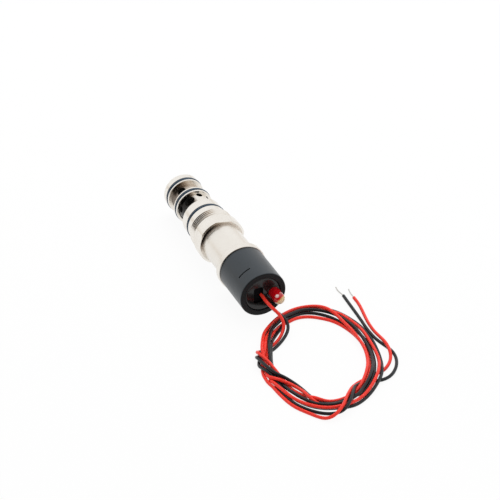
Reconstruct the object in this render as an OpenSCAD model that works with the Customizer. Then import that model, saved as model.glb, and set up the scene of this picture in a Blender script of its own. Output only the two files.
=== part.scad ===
// Boost control solenoid: a screw-in three-way cartridge valve with flying leads.
// The valve lies on its side along Y, nose to +Y and leads to -Y.
// The origin is on the valve axis, in the plane of the seating face of the collar.
// All sizes are millimetres.

/* [Valve body] */
// Diameter of the two front sealing lands
nose_d = 16.8; // [16.4:0.1:17.4]
// Length of the front land, from the front port groove to the tip
front_land_len = 6.4; // [6:0.1:8]
// Length of the lead-in chamfer at the tip
nose_chamfer = 1.4; // [0.6:0.1:2]
// Size of the broken edges on collar, flange and lands
edge = 0.2; // [0.1:0.05:0.3]
// Size of the broken edges on the thread
thread_edge = 0.3; // [0.2:0.05:0.3]
// Diameter of the rear port groove
rear_groove_d = 14.4; // [13.8:0.1:15]
// Diameter of the front port groove
front_groove_d = 13.2; // [12.8:0.1:14]
// Length of the front port groove
front_port_len = 6; // [5:0.1:8]
// Length of the land between the port grooves
mid_land_len = 3.4; // [3.2:0.1:5]
// Length of the rear port groove
rear_port_len = 8; // [6:0.1:10]
// Diameter of the rear sealing land
rear_land_d = 18.2; // [17.8:0.1:18.8]
// Length of the rear sealing land
rear_land_len = 9.9; // [8:0.1:12]
// Outside diameter of the mounting thread
thread_d = 20; // [19:0.1:21]
// Length of the mounting thread
thread_len = 4; // [3:0.1:6]
// Diameter of the plain neck behind the thread
neck_d = 19.4; // [18.8:0.1:19.8]
// Length of the plain neck
neck_len = 2.6; // [1.5:0.1:5]
// Diameter of the seating collar and of the flange at the other end of the barrel
collar_d = 21.6; // [21.2:0.1:24]
// Length of the seating collar
collar_t = 5; // [4:0.1:7]

/* [Wrench flats] */
// Number of flats round the collar
flat_count = 4; // [2:2:6]
// Distance across two opposite flats
flat_af = 20; // [19.8:0.1:20.8]
// Length of the plain part of a flat, from the rear face of the collar
flat_len = 2.7; // [2:0.1:3.2]
// Radius of the cutter whose curve ends a flat
flat_cutter_r = 3.2; // [2:0.1:3.4]
// Turn of the first flat from the X axis, in degrees
flat_turn = 80; // [0:1:89]

/* [Ports] */
// Number of main ports round each groove
port_count = 4; // [3:1:5]
// Diameter of the main ports in the rear groove
rear_port_d = 5; // [4:0.1:5.2]
// Distance from the front end of the rear groove to the middle of its main ports
rear_port_at = 3.1; // [2.8:0.1:4]
// Diameter of the main ports in the front groove
front_port_d = 4; // [3:0.1:4.4]
// Turn of the first main port from the X axis, in degrees
port_turn = 31; // [0:1:45]
// Diameter of the small ports between the main ports of the rear groove
bleed_d = 2.8; // [2:0.1:3]
// Distance from the front end of the rear groove to the middle of its small ports
bleed_at = 1.6; // [1.6:0.1:3]
// Bore of the body from the solenoid to the rear seat
chamber_d = 7; // [6.4:0.1:7.6]
// Bore of the body round the valve head
head_chamber_d = 11.2; // [10.8:0.1:11.6]
// Bore of both valve seats
seat_d = 5.2; // [4.8:0.1:5.4]
// Width of a seat lip
lip_w = 0.6; // [0.4:0.1:0.8]
// Height of a seat lip
lip_h = 0.4; // [0.3:0.1:0.6]

/* [O-rings] */
// Cord thickness of the outer O-rings
ring_w = 1.5; // [1.2:0.05:1.6]
// How far an outer O-ring stands proud of its land
ring_proud = 0.2; // [0.1:0.05:0.25]
// Width of an O-ring groove
ring_groove_w = 1.65; // [1.65:0.05:1.9]
// Distance from the thread to the middle of the rear O-ring
rear_ring_at = 4.7; // [3:0.1:6]
// Distance from the front port groove to the middle of the front O-ring
front_ring_at = 1.7; // [1.4:0.1:2.6]
// Cord thickness of the O-ring on the pole piece
pole_ring_w = 1; // [0.8:0.05:1.2]

/* [Valve head] */
// Travel of the armature and the valve head
stroke = 0.8; // [0.4:0.1:1.2]
// Diameter of the valve stem
stem_d = 3; // [2.6:0.1:3.4]
// Diameter of the valve head
head_d = 8.8; // [8.4:0.1:9.2]
// Length of the valve head over both rubber faces
head_len = 5.6; // [5:0.1:6]
// Thickness of a rubber face
seal_t = 0.9; // [0.7:0.1:1.2]
// How far a rubber face stands proud of the head
seal_proud = 0.2; // [0.1:0.05:0.3]
// Width of the metal rim round a rubber face
seal_rim = 0.4; // [0.3:0.1:0.6]
// Wire thickness of the return spring
spring_wire = 0.5; // [0.4:0.05:0.6]
// Mean diameter of the return spring
spring_d = 4.1; // [3.8:0.1:4.2]
// Fitted length of the return spring
spring_len = 5.5; // [4.5:0.1:6]
// Number of turns in the return spring
spring_turns = 5; // [4:0.5:6]
// Diameter of the outlet hole in the tip
outlet_d = 3.8; // [3:0.1:3.8]

/* [Solenoid] */
// Outside diameter of the barrel
barrel_d = 17.8; // [17:0.1:18.4]
// Wall of the barrel
barrel_wall = 1; // [0.8:0.1:1.2]
// Length of the barrel between the collar and its flange
barrel_len = 18.5; // [17:0.1:22]
// Thickness of the flange
flange_t = 3; // [2.5:0.1:4]
// Radius of the flare between barrel and flange
flare_r = 1.2; // [0.6:0.1:1.3]
// Diameter of the armature bore in the guide tube
tube_bore = 7; // [6.6:0.1:7.2]
// Wall of the guide tube
tube_wall = 0.4; // [0.3:0.05:0.5]
// Length of the armature
armature_len = 9.5; // [8:0.1:10]
// Distance that stays between armature and pole piece at the end of the stroke
residual_gap = 0.2; // [0.1:0.05:0.4]
// Length of the pole piece inside the guide tube
pole_len = 4.5; // [3.5:0.1:5]
// Thickness of the flange on the pole piece
pole_flange_t = 3; // [2:0.1:3.5]
// Diameter of the spigot on the pole piece
pole_spigot_d = 10; // [9.6:0.1:11]
// Diameter of the push pin
pin_d = 2; // [1.6:0.1:2.4]
// Thickness of the rear flux washer
flux_washer_t = 2; // [1.5:0.1:2.5]
// Thickness of a bobbin flange
bobbin_flange_t = 0.8; // [0.6:0.1:1.2]
// Wall of the bobbin tube
bobbin_wall = 0.6; // [0.5:0.1:0.8]

/* [Electrical end] */
// Diameter of the black end cap
cap_d = 20.6; // [20.2:0.1:21.2]
// Length of the end cap
cap_len = 20.7; // [19.5:0.1:26]
// Wall of the end cap
cap_wall = 2.4; // [2:0.1:2.6]
// Radius of the rounded outer edge of the end cap
cap_edge_r = 0.5; // [0.2:0.1:0.8]
// Distance of the latch slit from the end of the cap
slit_at = 6.7; // [3:0.1:9]
// Width of the latch slit
slit_w = 0.45; // [0.3:0.05:0.8]
// Depth of the latch slit
slit_depth = 1.2; // [0.6:0.1:1.8]
// Thickness of the potting
potting_t = 4; // [3:0.1:5]
// Depth of the potting below the rim of the cap
potting_sink = 0.4; // [0.1:0.1:1]
// Diameter of the indicator lamp
lamp_d = 5; // [4.6:0.1:5]
// Diameter of the collar at the foot of the lamp
lamp_foot_d = 5.7; // [5.4:0.1:5.7]
// Height of the lamp above the potting
lamp_h = 7.6; // [5:0.1:9]
// Distance of the lamp from the axis
lamp_at = 4.9; // [4.8:0.1:4.95]
// Thickness of the circuit board
board_t = 1; // [0.8:0.1:1.6]

/* [Leads] */
// Outside diameter of a lead
wire_d = 1.4; // [1.2:0.05:1.5]
// Diameter of a tinned conductor
core_d = 0.6; // [0.5:0.05:0.7]
// Half of the width of the wound loop, to the middle of its turns
loop_half_w = 21; // [18:0.5:24]
// Half of the length of the wound loop, to the middle of its turns
loop_half_l = 31.5; // [28:0.5:34]
// Width of the band of turns
loop_band = 7; // [5:0.5:8]
// Height of the band of turns
loop_h = 3; // [2:0.1:4]
// Turn of the loop from the Y axis, in degrees
loop_turn = -18; // [-30:1:0]

/* [Hidden] */
$fn = 96;
// Clearance on the radius of a piece that is pressed in or located
fit = 0.02;
// Clearance on the radius of a piece that slides
slide = 0.05;
// Play between faces that meet
play = 0.02;
// How far a cut runs past the face that it opens
over = 1;

// Places along the axis, from the seating face to the tip
neck_end = neck_len;
thread_end = neck_end + thread_len;
rear_land_end = thread_end + rear_land_len;
rear_port_end = rear_land_end + rear_port_len;
mid_land_end = rear_port_end + mid_land_len;
front_port_end = mid_land_end + front_port_len;
tip_y = front_port_end + front_land_len;
rear_ring_y = thread_end + rear_ring_at;
mid_ring_y = rear_port_end + mid_land_len / 2;
front_ring_y = front_port_end + front_ring_at;
rear_port_y = rear_port_end - rear_port_at;
bleed_y = rear_port_end - bleed_at;
bleed_turn = port_turn + 180 / port_count;
front_port_y = mid_land_end + front_port_len / 2;
chamfer_angle = 30;
chamfer_depth = nose_chamfer * tan(chamfer_angle);

// Places along the axis inside the valve
seat_inset = 0.3;
seat_web_end = mid_land_end - lip_h - seat_inset;
seat_a_y = seat_web_end + lip_h;
head_back = seat_a_y + play;
head_front = head_back + head_len;
seat_b_y = head_front + stroke + play;
insert_back = seat_b_y + lip_h;
seat_web_t = 2.4;
chamber_end = seat_web_end - seat_web_t;
spring_back = head_front - seal_proud + play;
spring_stop = spring_back + spring_len + play;
insert_sink = 0.5;
insert_front = tip_y - insert_sink;
drive_slot_w = 1;
drive_slot_depth = 0.7;
waist_d = 6;
waist_len = 1.6;
boss_d = 4.9;

// Stem guide, a flanged bush at the bottom of the pole piece's socket
guide_flange_t = 1;
guide_len = 9;
socket_end = 1.6;
guide_back = socket_end - guide_flange_t;
stem_inset = 2;
stem_back = guide_back + stem_inset;
pole_play = 0.15;

// Places along the axis behind the seating face
collar_back = -collar_t;
spigot_len = 2.5;
pole_front = collar_back - spigot_len;
pole_flange_back = pole_front - pole_flange_t;
pole_back = pole_flange_back - pole_len;
armature_front = pole_back - residual_gap - stroke;
armature_back = armature_front - armature_len;
stop_front = armature_back - play;
stop_len = 2;
tube_back = stop_front - stop_len;
flange_front = collar_back - barrel_len;
flange_back = flange_front - flange_t;
washer_front = flange_front - (flange_t - flux_washer_t) / 2;
washer_back = washer_front - flux_washer_t;
bobbin_front = pole_flange_back - play;
bobbin_back = washer_front + play;
barrel_bore = barrel_d - 2 * barrel_wall;
tube_d = tube_bore + 2 * tube_wall;
bobbin_play = 0.1;
bobbin_bore = tube_d + 2 * bobbin_play;
bobbin_room = 0.2;
bobbin_d = barrel_bore - 2 * bobbin_room;
winding_room = 0.7;
winding_d = barrel_bore - 2 * winding_room;
winding_bore = bobbin_bore + 2 * bobbin_wall + 2 * fit;
pole_ring_at = 1.2;
pole_ring_y = collar_back + pole_ring_at;
pole_ring_play = 0.4;
pole_ring_groove_w = pole_ring_w + pole_ring_play;
pin_seat = 2;
balance_groove_w = 0.8;
balance_groove_depth = 0.4;

// Places along the axis in the electrical end
cap_spigot_len = 4;
cap_end = flange_back - cap_len;
cap_bore = cap_d - 2 * cap_wall;
potting_back = cap_end + potting_sink;
potting_front = potting_back + potting_t;
board_gap = 2.8;
board_back = potting_front + board_gap;
board_front = board_back + board_t;
board_seat_w = 0.7;
slit_angle = 124;
slit_arc = 34;
lamp_z = -0.2;
lamp_foot_t = 1;
leg_w = 0.5;
leg_pitch = 2.54;
leg_tail = 1;
hole_play = 0.05;
well_depth = 0.6;
well_d = 4;
well_x = -2;
well_half = 1.6;
pin_row = 12;
coil_pin_d = 0.7;
coil_pin_tail = 0.6;
resistor_d = 1.6;
resistor_len = 3.6;
resistor_wire = 0.4;
resistor_pitch = 6.4;
resistor_z = -4;

// The surface on which the valve lies
floor_z = -collar_d / 2;

// Routes of the leads, as points on the middle of the wire
wire_sides = 8;
lead_foot = board_back - play;
red_route = [
    [-0.5, lead_foot, -0.5], [-0.5, -43.5, -0.5], [-0.5, -47, -0.5], [-0.5, -50, -0.8],
    [0, -53, -1.4], [1.1, -55.6, -2.4], [2.4, -57.5, -3.8], [3, -59.6, -5.3], [2.9, -61.3, -6.6],
    [2, -62.7, -7.8], [0.4, -64.3, -8.9], [-1.7, -65.9, -9.7], [-4.5, -67.5, -10.1], [-7.3, -68.8, -10.1]
];
black_route = [
    [0.2, lead_foot, -1.8], [0.2, -43.5, -1.8], [0.2, -47, -1.8], [0.3, -49.8, -2],
    [0.9, -52.6, -2.9], [2.1, -55.2, -4], [3.7, -57.2, -5.1], [4.6, -59.8, -6.1], [4.4, -62.2, -7.1],
    [3.1, -64.4, -8.1], [0.9, -66.1, -9.1], [-1.8, -68, -9.8], [-4.9, -69.8, -10.1], [-7.6, -71.4, -10.1]
];
red_tail_route = [
    [22, -102.6, -9.4], [25, -102, -9.6], [28, -101.2, -9.8], [31.2, -99.2, -9.9], [33.6, -96.6, -9.7],
    [35.2, -93.4, -9], [36, -89.8, -8.6], [36.3, -86, -8.6], [36.4, -82.2, -9.2], [36.5, -78.4, -9.9],
    [36.6, -74.6, -10.1], [37.2, -69, -10.1], [38.4, -63, -10.1], [39.4, -57.4, -10.1], [39.6, -52.4, -10.1]
];
black_tail_route = [
    [19.4, -105.4, -9.4], [22, -106.2, -9.8], [25, -106.6, -10.1], [28.4, -105.9, -10.1],
    [31.8, -103.4, -10.1], [34.6, -100, -10.1], [36.4, -96, -10.1], [37, -92, -10.1], [36.3, -88, -10.1],
    [35.2, -84, -10.1], [34.5, -80, -10.1], [34.3, -76, -10.1], [34.9, -70, -10.1], [35.4, -63, -10.1],
    [35.8, -56, -10.1], [36.2, -49.4, -10.1]
];
red_tip_route = [
    [39.6, -52.38, -10.1], [39.7, -50.4, -10.2], [39.9, -48.4, -10.3], [40.4, -46, -10.3]
];
black_tip_route = [
    [36.2, -49.38, -10.1], [36, -47.4, -10.2], [35.8, -45.2, -10.3], [36.1, -42.4, -10.3]
];
loop_x = 8;
loop_y = -84;
loop_points = 48;

// Shapes used by several pieces

// Stands a shape that was drawn along Z up along the valve axis, nose to +Y
module along_axis() {
    rotate([-90, 0, 0]) children();
}

// A plain round length of the given diameter between two places on the axis
module rod(d, from, to) {
    along_axis() translate([0, 0, from]) cylinder(d = d, h = to - from);
}

// A tube between two places on the axis
module tube(d, bore, from, to) {
    along_axis() rotate_extrude() translate([bore / 2, from]) square([(d - bore) / 2, to - from]);
}

// A ring of round cord at one place on the axis
module o_ring(d, cord, at) {
    along_axis() rotate_extrude() translate([d / 2 - cord / 2, at]) circle(d = cord);
}

// A straight pin parallel to the axis
module pin_at(x, z, d, from, to) {
    translate([x, 0, z]) rod(d, from, to);
}

// The round bottom of an O-ring groove
function ring_bottom(d) = d + 2 * ring_proud - 2 * ring_w;

function unit(v) = v / norm(v);

// Direction of a route at one of its points
function heading(route, i) =
    unit(route[min(i + 1, len(route) - 1)] - route[max(i - 1, 0)]);

// Corners of the wire's cross-section at one point of its route
function wire_ring(route, i, d, upright) =
    let (along = heading(route, i), side = unit(cross(along, upright)), up = cross(side, along))
    [for (k = [0 : wire_sides - 1])
        route[i] + d / 2 * (cos(360 * k / wire_sides) * side + sin(360 * k / wire_sides) * up)];

// A plain tube of wire along its route; upright is a direction that the route never takes
module wire(route, d, upright = [0, 0, 1]) {
    rings = len(route);
    last = (rings - 1) * wire_sides;
    corners = [for (i = [0 : rings - 1]) each wire_ring(route, i, d, upright)];
    skin = [for (i = [0 : rings - 2], k = [0 : wire_sides - 1])
        let (n = (k + 1) % wire_sides, a = i * wire_sides, b = a + wire_sides)
        [a + k, b + k, b + n, a + n]];
    first_end = [for (k = [0 : wire_sides - 1]) k];
    last_end = [for (k = [0 : wire_sides - 1]) last + wire_sides - 1 - k];
    polyhedron(corners, concat(skin, [first_end, last_end]));
}

// Valve body: collar with wrench flats, neck, thread, three lands and two port grooves

// Outline of one turned step; the size of each of its two broken edges may be 0
function turned(d, from, to, back_edge, front_edge) = [
    [d / 2 - back_edge, from], [d / 2, from + back_edge],
    [d / 2, to - front_edge], [d / 2 - front_edge, to]
];

module body_outline() {
    polygon(concat(
        [[0, pole_front]],
        turned(barrel_bore - 2 * fit, pole_front, collar_back, edge, 0),
        turned(collar_d, collar_back, 0, edge, edge),
        turned(neck_d, 0, neck_end, 0, 0),
        turned(thread_d, neck_end, thread_end, thread_edge, thread_edge),
        turned(rear_land_d, thread_end, rear_land_end, 0, edge),
        turned(rear_groove_d, rear_land_end, rear_port_end, 0, 0),
        turned(nose_d, rear_port_end, mid_land_end, edge, edge),
        turned(front_groove_d, mid_land_end, front_port_end, 0, 0),
        turned(nose_d, front_port_end, tip_y - nose_chamfer, edge, 0),
        [[nose_d / 2 - chamfer_depth, tip_y], [0, tip_y]]
    ));
}

module body_bore() {
    polygon([
        [0, pole_front - over], [pole_spigot_d / 2, pole_front - over], [pole_spigot_d / 2, socket_end],
        [chamber_d / 2, socket_end], [chamber_d / 2, chamber_end],
        [seat_d / 2, chamber_end], [seat_d / 2, seat_a_y],
        [seat_d / 2 + lip_w, seat_a_y], [seat_d / 2 + lip_w, seat_web_end],
        [head_chamber_d / 2, seat_web_end], [head_chamber_d / 2, tip_y + over], [0, tip_y + over]
    ]);
}

module ring_groove(d, at) {
    translate([ring_bottom(d) / 2, at - ring_groove_w / 2]) square([ring_w + over, ring_groove_w]);
}

module port_row(at, d, turn) {
    for (i = [0 : port_count - 1])
        rotate([0, -turn - 360 * i / port_count, 0])
            translate([chamber_d / 4, at, 0])
                rotate([0, 90, 0]) cylinder(d = d, h = nose_d);
}

// A wrench flat, milled from the rear and ended by the cutter's own curve
module wrench_flat(turn) {
    rotate([0, -turn, 0]) {
        translate([flat_af / 2, collar_back - over, -collar_d / 2])
            cube([collar_d, flat_len + over, collar_d]);
        translate([flat_af / 2 + flat_cutter_r, collar_back + flat_len, -collar_d / 2])
            cylinder(r = flat_cutter_r, h = collar_d);
    }
}

module valve_body() {
    color("gainsboro") difference() {
        along_axis() rotate_extrude() difference() {
            body_outline();
            body_bore();
            ring_groove(rear_land_d, rear_ring_y);
            ring_groove(nose_d, mid_ring_y);
            ring_groove(nose_d, front_ring_y);
        }
        port_row(rear_port_y, rear_port_d, port_turn);
        port_row(bleed_y, bleed_d, bleed_turn);
        port_row(front_port_y, front_port_d, port_turn);
        for (i = [0 : flat_count - 1])
            wrench_flat(flat_turn + 360 * i / flat_count);
    }
}

module front_o_ring() {
    color("midnightblue") o_ring(nose_d + 2 * ring_proud, ring_w, front_ring_y);
}

module middle_o_ring() {
    color("midnightblue") o_ring(nose_d + 2 * ring_proud, ring_w, mid_ring_y);
}

module rear_o_ring() {
    color("midnightblue") o_ring(rear_land_d + 2 * ring_proud, ring_w, rear_ring_y);
}

// Front seat: an insert in the tip that also holds the return spring
module nose_seat() {
    color("lightgray") difference() {
        along_axis() rotate_extrude() polygon([
            [seat_d / 2, seat_b_y], [seat_d / 2 + lip_w, seat_b_y], [seat_d / 2 + lip_w, insert_back],
            [head_chamber_d / 2 - fit, insert_back], [head_chamber_d / 2 - fit, insert_front],
            [outlet_d / 2, insert_front], [outlet_d / 2, spring_stop], [seat_d / 2, spring_stop]
        ]);
        translate([-head_chamber_d, insert_front - drive_slot_depth, -drive_slot_w / 2])
            cube([2 * head_chamber_d, 2 * drive_slot_depth, drive_slot_w]);
    }
}

// Return spring: a round wire wound on a helix that lies flat at both ends
spring_steps = 14;
spring_rise = spring_len - spring_wire;
function spring_lift(turn) =
    spring_rise * min(1, max(0, (turn - 0.75) / (spring_turns - 1.5)));
function spring_point(turn) = [
    spring_d / 2 * cos(360 * turn),
    spring_back + spring_wire / 2 + spring_lift(turn),
    spring_d / 2 * sin(360 * turn)
];

module return_spring() {
    steps = ceil(spring_turns * spring_steps);
    route = [for (i = [0 : steps]) spring_point(spring_turns * i / steps)];
    color("silver") wire(route, spring_wire, [0, 1, 0]);
}

// Valve stem with the head that closes one seat or the other
module valve_stem() {
    rim_back = head_back + seal_proud;
    rim_front = head_front - seal_proud;
    waist_back = (rim_back + rim_front - waist_len) / 2;
    pocket_d = head_d - 2 * seal_rim;
    color("goldenrod") along_axis() rotate_extrude() difference() {
        polygon([
            [0, stem_back], [stem_d / 2, stem_back], [stem_d / 2, rim_back], [head_d / 2, rim_back],
            [head_d / 2, waist_back], [waist_d / 2, waist_back], [waist_d / 2, waist_back + waist_len],
            [head_d / 2, waist_back + waist_len], [head_d / 2, rim_front], [0, rim_front]
        ]);
        translate([stem_d / 2, head_back]) square([(pocket_d - stem_d) / 2, seal_t]);
        translate([boss_d / 2, head_front - seal_t]) square([(pocket_d - boss_d) / 2, seal_t]);
    }
}

module face_seal(bore, from, to) {
    color("dimgray") tube(head_d - 2 * seal_rim - 2 * fit, bore + 2 * fit, from, to);
}

module rear_face_seal() {
    face_seal(stem_d, head_back, head_back + seal_t);
}

module front_face_seal() {
    face_seal(boss_d, head_front - seal_t, head_front);
}

// Flanged bush that guides the stem
module stem_guide() {
    color("peru") along_axis() rotate_extrude() translate([stem_d / 2 + slide, 0]) polygon([
        [0, guide_back], [(pole_spigot_d - stem_d) / 2 - slide - fit, guide_back],
        [(pole_spigot_d - stem_d) / 2 - slide - fit, socket_end],
        [(chamber_d - stem_d) / 2 - slide - fit, socket_end],
        [(chamber_d - stem_d) / 2 - slide - fit, socket_end + guide_len], [0, socket_end + guide_len]
    ]);
}

module push_pin() {
    color("silver") rod(pin_d, armature_front - pin_seat + play, stem_back - play);
}

// Pole piece: core, flange and the spigot that centres it in the body
module pole_piece() {
    color("slategray") along_axis() rotate_extrude() difference() {
        polygon([
            [pin_d / 2 + pole_play, pole_back], [tube_bore / 2 - fit, pole_back],
            [tube_bore / 2 - fit, pole_flange_back], [barrel_bore / 2 - fit, pole_flange_back],
            [barrel_bore / 2 - fit, pole_front], [pole_spigot_d / 2 - fit, pole_front],
            [pole_spigot_d / 2 - fit, guide_back], [pin_d / 2 + pole_play, guide_back]
        ]);
        translate([pole_spigot_d / 2 - pole_ring_w, pole_ring_y - pole_ring_groove_w / 2])
            square([pole_ring_w + over, pole_ring_groove_w]);
    }
}

module pole_o_ring() {
    color("midnightblue") o_ring(pole_spigot_d - 2 * fit, pole_ring_w - 2 * fit, pole_ring_y);
}

// Barrel with its flange and the spigot that carries the end cap
module barrel() {
    color("gainsboro") along_axis() rotate_extrude() difference() {
        union() {
            translate([0, flange_back - cap_spigot_len])
                square([barrel_d / 2, collar_back - flange_back + cap_spigot_len]);
            polygon(concat([[0, flange_back]], turned(collar_d, flange_back, flange_front, edge, edge),
                [[0, flange_front]]));
            difference() {
                translate([0, flange_front]) square([barrel_d / 2 + flare_r, flare_r]);
                translate([barrel_d / 2 + flare_r, flange_front + flare_r]) circle(r = flare_r);
            }
        }
        translate([0, flange_back - cap_spigot_len - over])
            square([barrel_bore / 2, collar_back - flange_back + cap_spigot_len + 2 * over]);
    }
}

module guide_tube() {
    color("khaki") tube(tube_d, tube_bore, tube_back, pole_flange_back - play);
}

// Armature with a seat for the push pin and two grooves that let air past
module armature() {
    d = tube_bore - 2 * slide;
    color("slategray") difference() {
        rod(d, armature_back, armature_front);
        rod(pin_d + 2 * fit, armature_front - pin_seat, armature_front + over);
        for (side = [-1, 1])
            translate([side * d / 2, armature_back + armature_len / 2, 0])
                cube([2 * balance_groove_depth, armature_len + 2 * over, balance_groove_w], center = true);
    }
}

module armature_stop() {
    color("khaki") rod(tube_bore - 2 * fit, tube_back, stop_front);
}

module bobbin() {
    color("ivory") along_axis() rotate_extrude() polygon([
        [bobbin_bore / 2, bobbin_back], [bobbin_d / 2, bobbin_back],
        [bobbin_d / 2, bobbin_back + bobbin_flange_t],
        [bobbin_bore / 2 + bobbin_wall, bobbin_back + bobbin_flange_t],
        [bobbin_bore / 2 + bobbin_wall, bobbin_front - bobbin_flange_t],
        [bobbin_d / 2, bobbin_front - bobbin_flange_t], [bobbin_d / 2, bobbin_front],
        [bobbin_bore / 2, bobbin_front]
    ]);
}

module coil_winding() {
    color("chocolate") tube(winding_d, winding_bore, bobbin_back + bobbin_flange_t + play,
        bobbin_front - bobbin_flange_t - play);
}

module flux_washer() {
    color("slategray") difference() {
        tube(barrel_bore - 2 * fit, tube_d + 2 * fit, washer_back, washer_front);
        for (side = [-1, 1])
            pin_at(0, side * pin_row / 2, coil_pin_d + 2 * hole_play,
                washer_back - over, washer_front + over);
    }
}

// The two pins that join the winding to the circuit board
module coil_pins() {
    color("gold") for (side = [-1, 1])
        pin_at(0, side * pin_row / 2, coil_pin_d, board_back - coil_pin_tail, bobbin_back - play);
}

// End cap: a tube over the barrel's spigot, with a ledge for the board and a latch slit
module cap_outline() {
    difference() {
        union() {
            translate([0, cap_end + cap_edge_r]) square([cap_d / 2, cap_len - cap_edge_r]);
            translate([0, cap_end]) square([cap_d / 2 - cap_edge_r, cap_edge_r + over]);
            translate([cap_d / 2 - cap_edge_r, cap_end + cap_edge_r]) circle(r = cap_edge_r);
        }
        translate([0, cap_end - over]) square([cap_bore / 2, board_front - cap_end + over]);
        translate([0, cap_end]) square([cap_bore / 2 - board_seat_w, cap_len + over]);
        translate([0, flange_back - cap_spigot_len - play])
            square([barrel_d / 2 + fit, cap_spigot_len + play + over]);
    }
}

module end_cap() {
    color("#22262a") difference() {
        along_axis() rotate_extrude() cap_outline();
        rotate([0, -slit_angle + slit_arc / 2, 0]) along_axis()
            rotate([0, 0, -slit_arc]) rotate_extrude(angle = slit_arc)
                translate([cap_d / 2 - slit_depth, cap_end + slit_at - slit_w / 2])
                    square([slit_depth + over, slit_w]);
    }
}

module leg_holes(w, from, to) {
    for (side = [-1, 1])
        translate([lamp_at + side * leg_pitch / 2, (from + to) / 2, lamp_z])
            cube([w, to - from, w], center = true);
}

module circuit_board() {
    color("darkgreen") difference() {
        rod(cap_bore - 2 * slide, board_back, board_front - play);
        leg_holes(leg_w + 2 * hole_play, board_back - over, board_front + over);
        for (side = [-1, 1]) {
            pin_at(0, side * pin_row / 2, coil_pin_d + 2 * hole_play,
                board_back - over, board_front + over);
            pin_at(side * resistor_pitch / 2, resistor_z, resistor_wire + 2 * hole_play,
                board_back - over, board_front + over);
        }
    }
}

// Series resistor of the lamp, lying on the board with both wires bent through it
module lamp_resistor() {
    height = board_back - resistor_d / 2 - play;
    color("tan") union() {
        translate([-resistor_len / 2, height, resistor_z])
            rotate([0, 90, 0]) cylinder(d = resistor_d, h = resistor_len);
        translate([-resistor_pitch / 2, height, resistor_z])
            rotate([0, 90, 0]) cylinder(d = resistor_wire, h = resistor_pitch);
        for (side = [-1, 1])
            pin_at(side * resistor_pitch / 2, resistor_z, resistor_wire, height, board_front + leg_tail / 2);
    }
}

// Lamp: a moulded foot, a round body and a domed tip
module lamp_shape(grow) {
    translate([lamp_at, 0, lamp_z]) {
        rod(lamp_foot_d + 2 * grow, potting_back - grow, potting_back + lamp_foot_t + grow);
        rod(lamp_d + 2 * grow, potting_back - lamp_h + lamp_d / 2, potting_back + lamp_foot_t);
        translate([0, potting_back - lamp_h + lamp_d / 2, 0]) sphere(d = lamp_d + 2 * grow);
    }
}

module indicator_lamp() {
    color("#b01018") lamp_shape(0);
}

module lamp_legs() {
    color("silver")
        leg_holes(leg_w, potting_back + lamp_foot_t + play, board_front + leg_tail);
}

// Potting: fills the mouth of the cap round the lamp and the leads
module potting() {
    color("#101214") difference() {
        rod(cap_bore - 2 * fit, potting_back, potting_front);
        lamp_shape(fit);
        leg_holes(leg_w + 2 * hole_play, potting_back, potting_front + over);
        for (foot = [red_route[0], black_route[0]])
            pin_at(foot.x, foot.z, wire_d + 2 * hole_play, potting_back - over, potting_front + over);
        for (side = [-1, 1])
            pin_at(well_x, side * well_half, well_d, potting_back - over, potting_back + well_depth);
        translate([well_x - well_d / 2, potting_back - over, -well_half])
            cube([well_d, well_depth + over, 2 * well_half]);
    }
}

// Leads, the loop that they are wound into, their tails and their tinned tips

module red_lead() {
    color("red") wire(red_route, wire_d);
}

module black_lead() {
    color("#202020") wire(black_route, wire_d);
}

module oval(grow) {
    polygon([for (i = [0 : loop_points - 1])
        let (a = 360 * i / loop_points)
        [(loop_half_w + grow) * cos(a), (loop_half_l + grow) * sin(a)]]);
}

module lead_loop() {
    color("firebrick") translate([loop_x, loop_y, floor_z]) rotate([0, 0, loop_turn])
        linear_extrude(loop_h) difference() {
            oval(loop_band / 2);
            oval(-loop_band / 2);
        }
}

module red_tail() {
    color("red") wire(red_tail_route, wire_d);
}

module black_tail() {
    color("#202020") wire(black_tail_route, wire_d);
}

module red_tip() {
    color("silver") wire(red_tip_route, core_d);
}

module black_tip() {
    color("silver") wire(black_tip_route, core_d);
}

valve_body();
front_o_ring();
middle_o_ring();
rear_o_ring();
nose_seat();
return_spring();
valve_stem();
rear_face_seal();
front_face_seal();
stem_guide();
push_pin();
pole_piece();
pole_o_ring();
barrel();
guide_tube();
armature();
armature_stop();
bobbin();
coil_winding();
flux_washer();
coil_pins();
end_cap();
circuit_board();
lamp_resistor();
potting();
indicator_lamp();
lamp_legs();
red_lead();
black_lead();
lead_loop();
red_tail();
black_tail();
red_tip();
black_tip();
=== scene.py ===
# Boost control solenoid: the looks of the part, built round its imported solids.
import math

import bmesh
import bpy
import numpy as np
from mathutils import Matrix, Vector


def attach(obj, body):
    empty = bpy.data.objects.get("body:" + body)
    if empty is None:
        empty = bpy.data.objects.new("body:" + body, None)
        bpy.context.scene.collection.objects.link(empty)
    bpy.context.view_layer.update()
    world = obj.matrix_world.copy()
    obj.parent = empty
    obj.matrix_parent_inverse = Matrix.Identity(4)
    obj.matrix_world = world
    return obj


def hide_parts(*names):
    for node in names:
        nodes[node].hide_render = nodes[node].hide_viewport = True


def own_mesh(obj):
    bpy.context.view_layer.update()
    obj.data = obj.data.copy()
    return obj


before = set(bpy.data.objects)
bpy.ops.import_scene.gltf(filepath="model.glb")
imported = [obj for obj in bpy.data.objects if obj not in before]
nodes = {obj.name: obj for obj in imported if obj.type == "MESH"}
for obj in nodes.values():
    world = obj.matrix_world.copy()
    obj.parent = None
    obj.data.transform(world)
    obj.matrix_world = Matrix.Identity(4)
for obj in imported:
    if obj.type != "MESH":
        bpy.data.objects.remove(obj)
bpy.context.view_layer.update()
scene = bpy.context.scene
MM = 0.001


def put(name, data):
    """A new object in the scene."""
    thing = bpy.data.objects.new(name, data)
    scene.collection.objects.link(thing)
    return thing


# Camera, fitted to the photograph

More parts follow.
